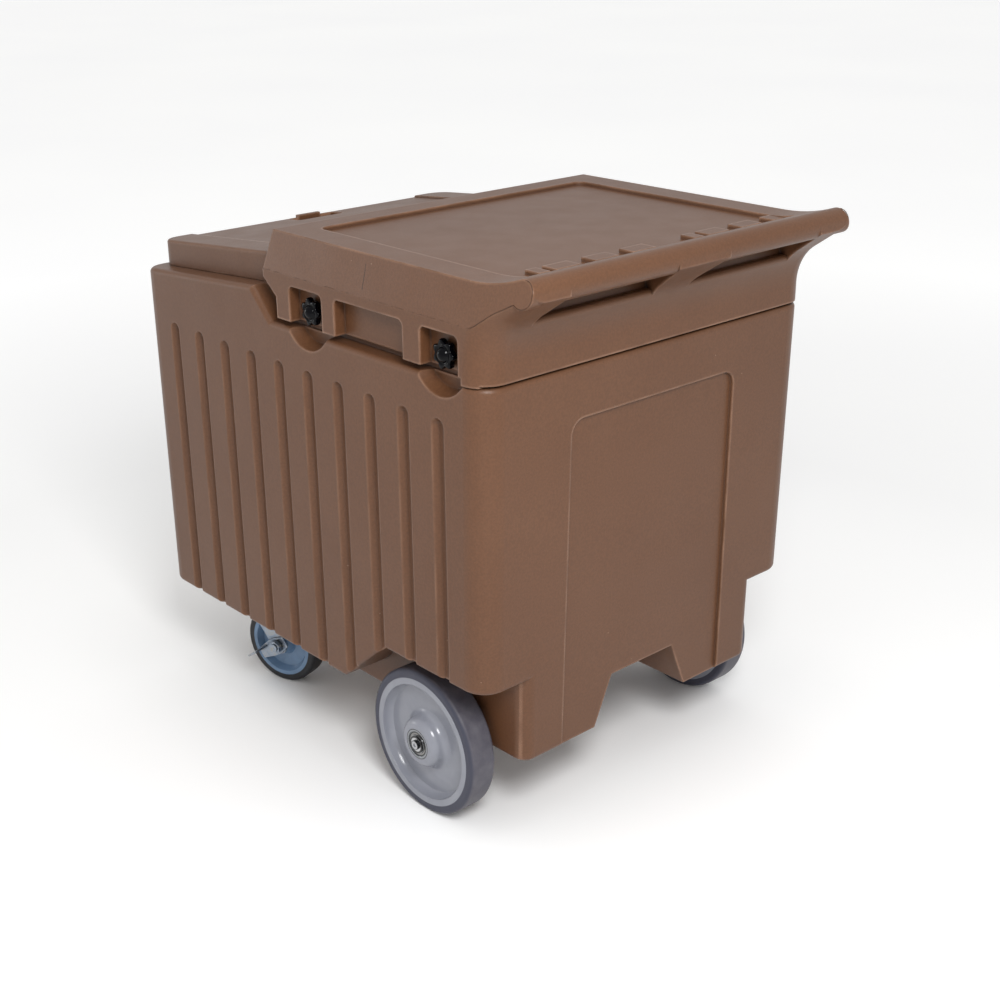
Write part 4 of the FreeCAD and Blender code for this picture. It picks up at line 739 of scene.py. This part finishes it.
class ICEBIN_OT_drain_tap(bpy.types.Operator):
    """Finish the drain tap with its lever, gasket and nut"""
    bl_idname = "ice_bin.drain_tap"
    bl_label = "Drain Tap"

    def execute(self, context):
        paint(moulded_plastic("moulded_acetal_white", "#cfcfcb", "#dcdcd8", 0.35), "drain_valve", "drain_nut")
        paint(moulded_plastic("moulded_nylon_red", "#8c1712", "#9c1f18", 0.35), "drain_lever")
        paint(moulded_rubber("moulded_gasket_rubber", "#101011", "#1c1c1e", 0.6), "drain_gasket")
        return {"FINISHED"}


# Stage

FLOOR_RADII = (2.0, 8.0, 30.0)
FLOOR_TURNS = 96

# Lamp name, place, size across and share of the light power; all aim at one point in the bin.
LAMPS = (
    ("key_light", (0.95, 1.5, 1.65), 0.62, 0.8),
    ("front_light", (2.4, -3.4, 0.95), 0.8, 0.24),
    ("top_light", (0.1, 0.4, 3.6), 1.0, 0.3),
)
LAMP_TARGET = Vector((0.0, 0.0, 0.4))

# The photograph's camera: place in metres, yaw, pitch and roll in radians, lens in mm.
CAMERA_PLACE = (1.3472, 1.5260, 1.1406)
CAMERA_YAW, CAMERA_PITCH, CAMERA_ROLL = 0.7365, 0.3853, -0.0084
CAMERA_LENS = 54.21


class ICEBIN_OT_stage(bpy.types.Operator):
    """Set the pale floor, the soft lights and the camera"""
    bl_idname = "ice_bin.stage"
    bl_label = "Floor, Lights and Camera"

    def execute(self, context):
        self.floor(context)
        self.lights(context)
        self.camera(context)
        return {"FINISHED"}

    def floor(self, context):
        """A wide, flat, round floor: a fan in the middle and two rings round it."""
        around = [2 * math.pi * i / FLOOR_TURNS for i in range(FLOOR_TURNS)]
        points = [(r * math.cos(a), r * math.sin(a), 0.0) for r in FLOOR_RADII for a in around]
        points.append((0.0, 0.0, 0.0))
        faces = [(i, (i + 1) % FLOOR_TURNS, len(points) - 1) for i in range(FLOOR_TURNS)]
        for base in (FLOOR_TURNS * ring for ring in range(len(FLOOR_RADII) - 1)):
            for i in range(FLOOR_TURNS):
                here, beside = base + i, base + (i + 1) % FLOOR_TURNS
                faces.append((here, here + FLOOR_TURNS, beside + FLOOR_TURNS, beside))
        mesh = bpy.data.meshes.new("pale_floor")
        mesh.from_pydata(points, [], faces)
        mesh.materials.append(opal_light_table())
        mesh.shade_smooth()
        floor = bpy.data.objects.new("pale_floor", mesh)
        context.scene.collection.objects.link(floor)

    def lights(self, context):
        """Three square lamps, and an even white light from all round."""
        for name, place, size, share in LAMPS:
            lamp = bpy.data.lights.new(name, "AREA")
            lamp.energy = looks().light_power * share
            lamp.size = size
            spot = bpy.data.objects.new(name, lamp)
            spot.location = place
            spot.rotation_euler = (LAMP_TARGET - Vector(place)).to_track_quat("-Z", "Y").to_euler()
            context.scene.collection.objects.link(spot)
        world = bpy.data.worlds.new("pale_room")
        world.use_nodes = True
        background = world.node_tree.nodes["Background"]
        background.inputs["Color"].default_value = WHITE
        background.inputs["Strength"].default_value = looks().room_light
        context.scene.world = world
        context.scene.view_settings.view_transform = "Standard"

    def camera(self, context):
        """The camera that the photograph was fitted with."""
        yaw, pitch, roll = CAMERA_YAW, CAMERA_PITCH, CAMERA_ROLL
        ahead = Vector((-math.sin(yaw) * math.cos(pitch), -math.cos(yaw) * math.cos(pitch), -math.sin(pitch)))
        right = ahead.cross(Vector((0, 0, 1))).normalized()
        up = right.cross(ahead)
        lean, level = math.sin(roll), math.cos(roll)
        right, up = level * right + lean * up, level * up - lean * right
        lens = bpy.data.cameras.new("photo_camera")
        lens.sensor_width = 36.0
        lens.lens = CAMERA_LENS
        lens.clip_start = 0.05
        lens.clip_end = 60.0
        camera = bpy.data.objects.new("photo_camera", lens)
        turn = Matrix((right, up, -ahead)).transposed().to_4x4()
        camera.matrix_world = Matrix.Translation(CAMERA_PLACE) @ turn
        context.scene.collection.objects.link(camera)
        context.scene.camera = camera


class ICEBIN_PT_panel(bpy.types.Panel):
    """Lists the pieces of the ice bin and their settings"""
    bl_label = "Ice Bin"
    bl_idname = "ICEBIN_PT_panel"
    bl_space_type = "VIEW_3D"
    bl_region_type = "UI"
    bl_category = "Ice Bin"

    def draw(self, context):
        for group in (sizes(), looks()):
            for name in group.__annotations__:
                self.layout.prop(group, name)
        for piece in PIECES:
            self.layout.operator(piece.bl_idname)


PIECES = (
    ICEBIN_OT_mouldings,
    ICEBIN_OT_flash_beads,
    ICEBIN_OT_star_knobs,
    ICEBIN_OT_rear_wheels,
    ICEBIN_OT_casters,
    ICEBIN_OT_drain_tap,
    ICEBIN_OT_stage,
)
CLASSES = (IceBinSizes, IceBinLooks) + PIECES + (ICEBIN_PT_panel,)


def register():
    for item in CLASSES:
        bpy.utils.register_class(item)
    bpy.types.Scene.ice_bin_sizes = bpy.props.PointerProperty(type=IceBinSizes)
    bpy.types.Scene.ice_bin_looks = bpy.props.PointerProperty(type=IceBinLooks)


def unregister():
    del bpy.types.Scene.ice_bin_sizes
    del bpy.types.Scene.ice_bin_looks
    for item in reversed(CLASSES):
        bpy.utils.unregister_class(item)


def main():
    """Makes every piece in order."""
    register()
    bpy.ops.ice_bin.mouldings()
    bpy.ops.ice_bin.flash_beads()
    bpy.ops.ice_bin.star_knobs()
    bpy.ops.ice_bin.rear_wheels()
    bpy.ops.ice_bin.casters()
    bpy.ops.ice_bin.drain_tap()
    bpy.ops.ice_bin.stage()


if __name__ == "__main__":
    main()
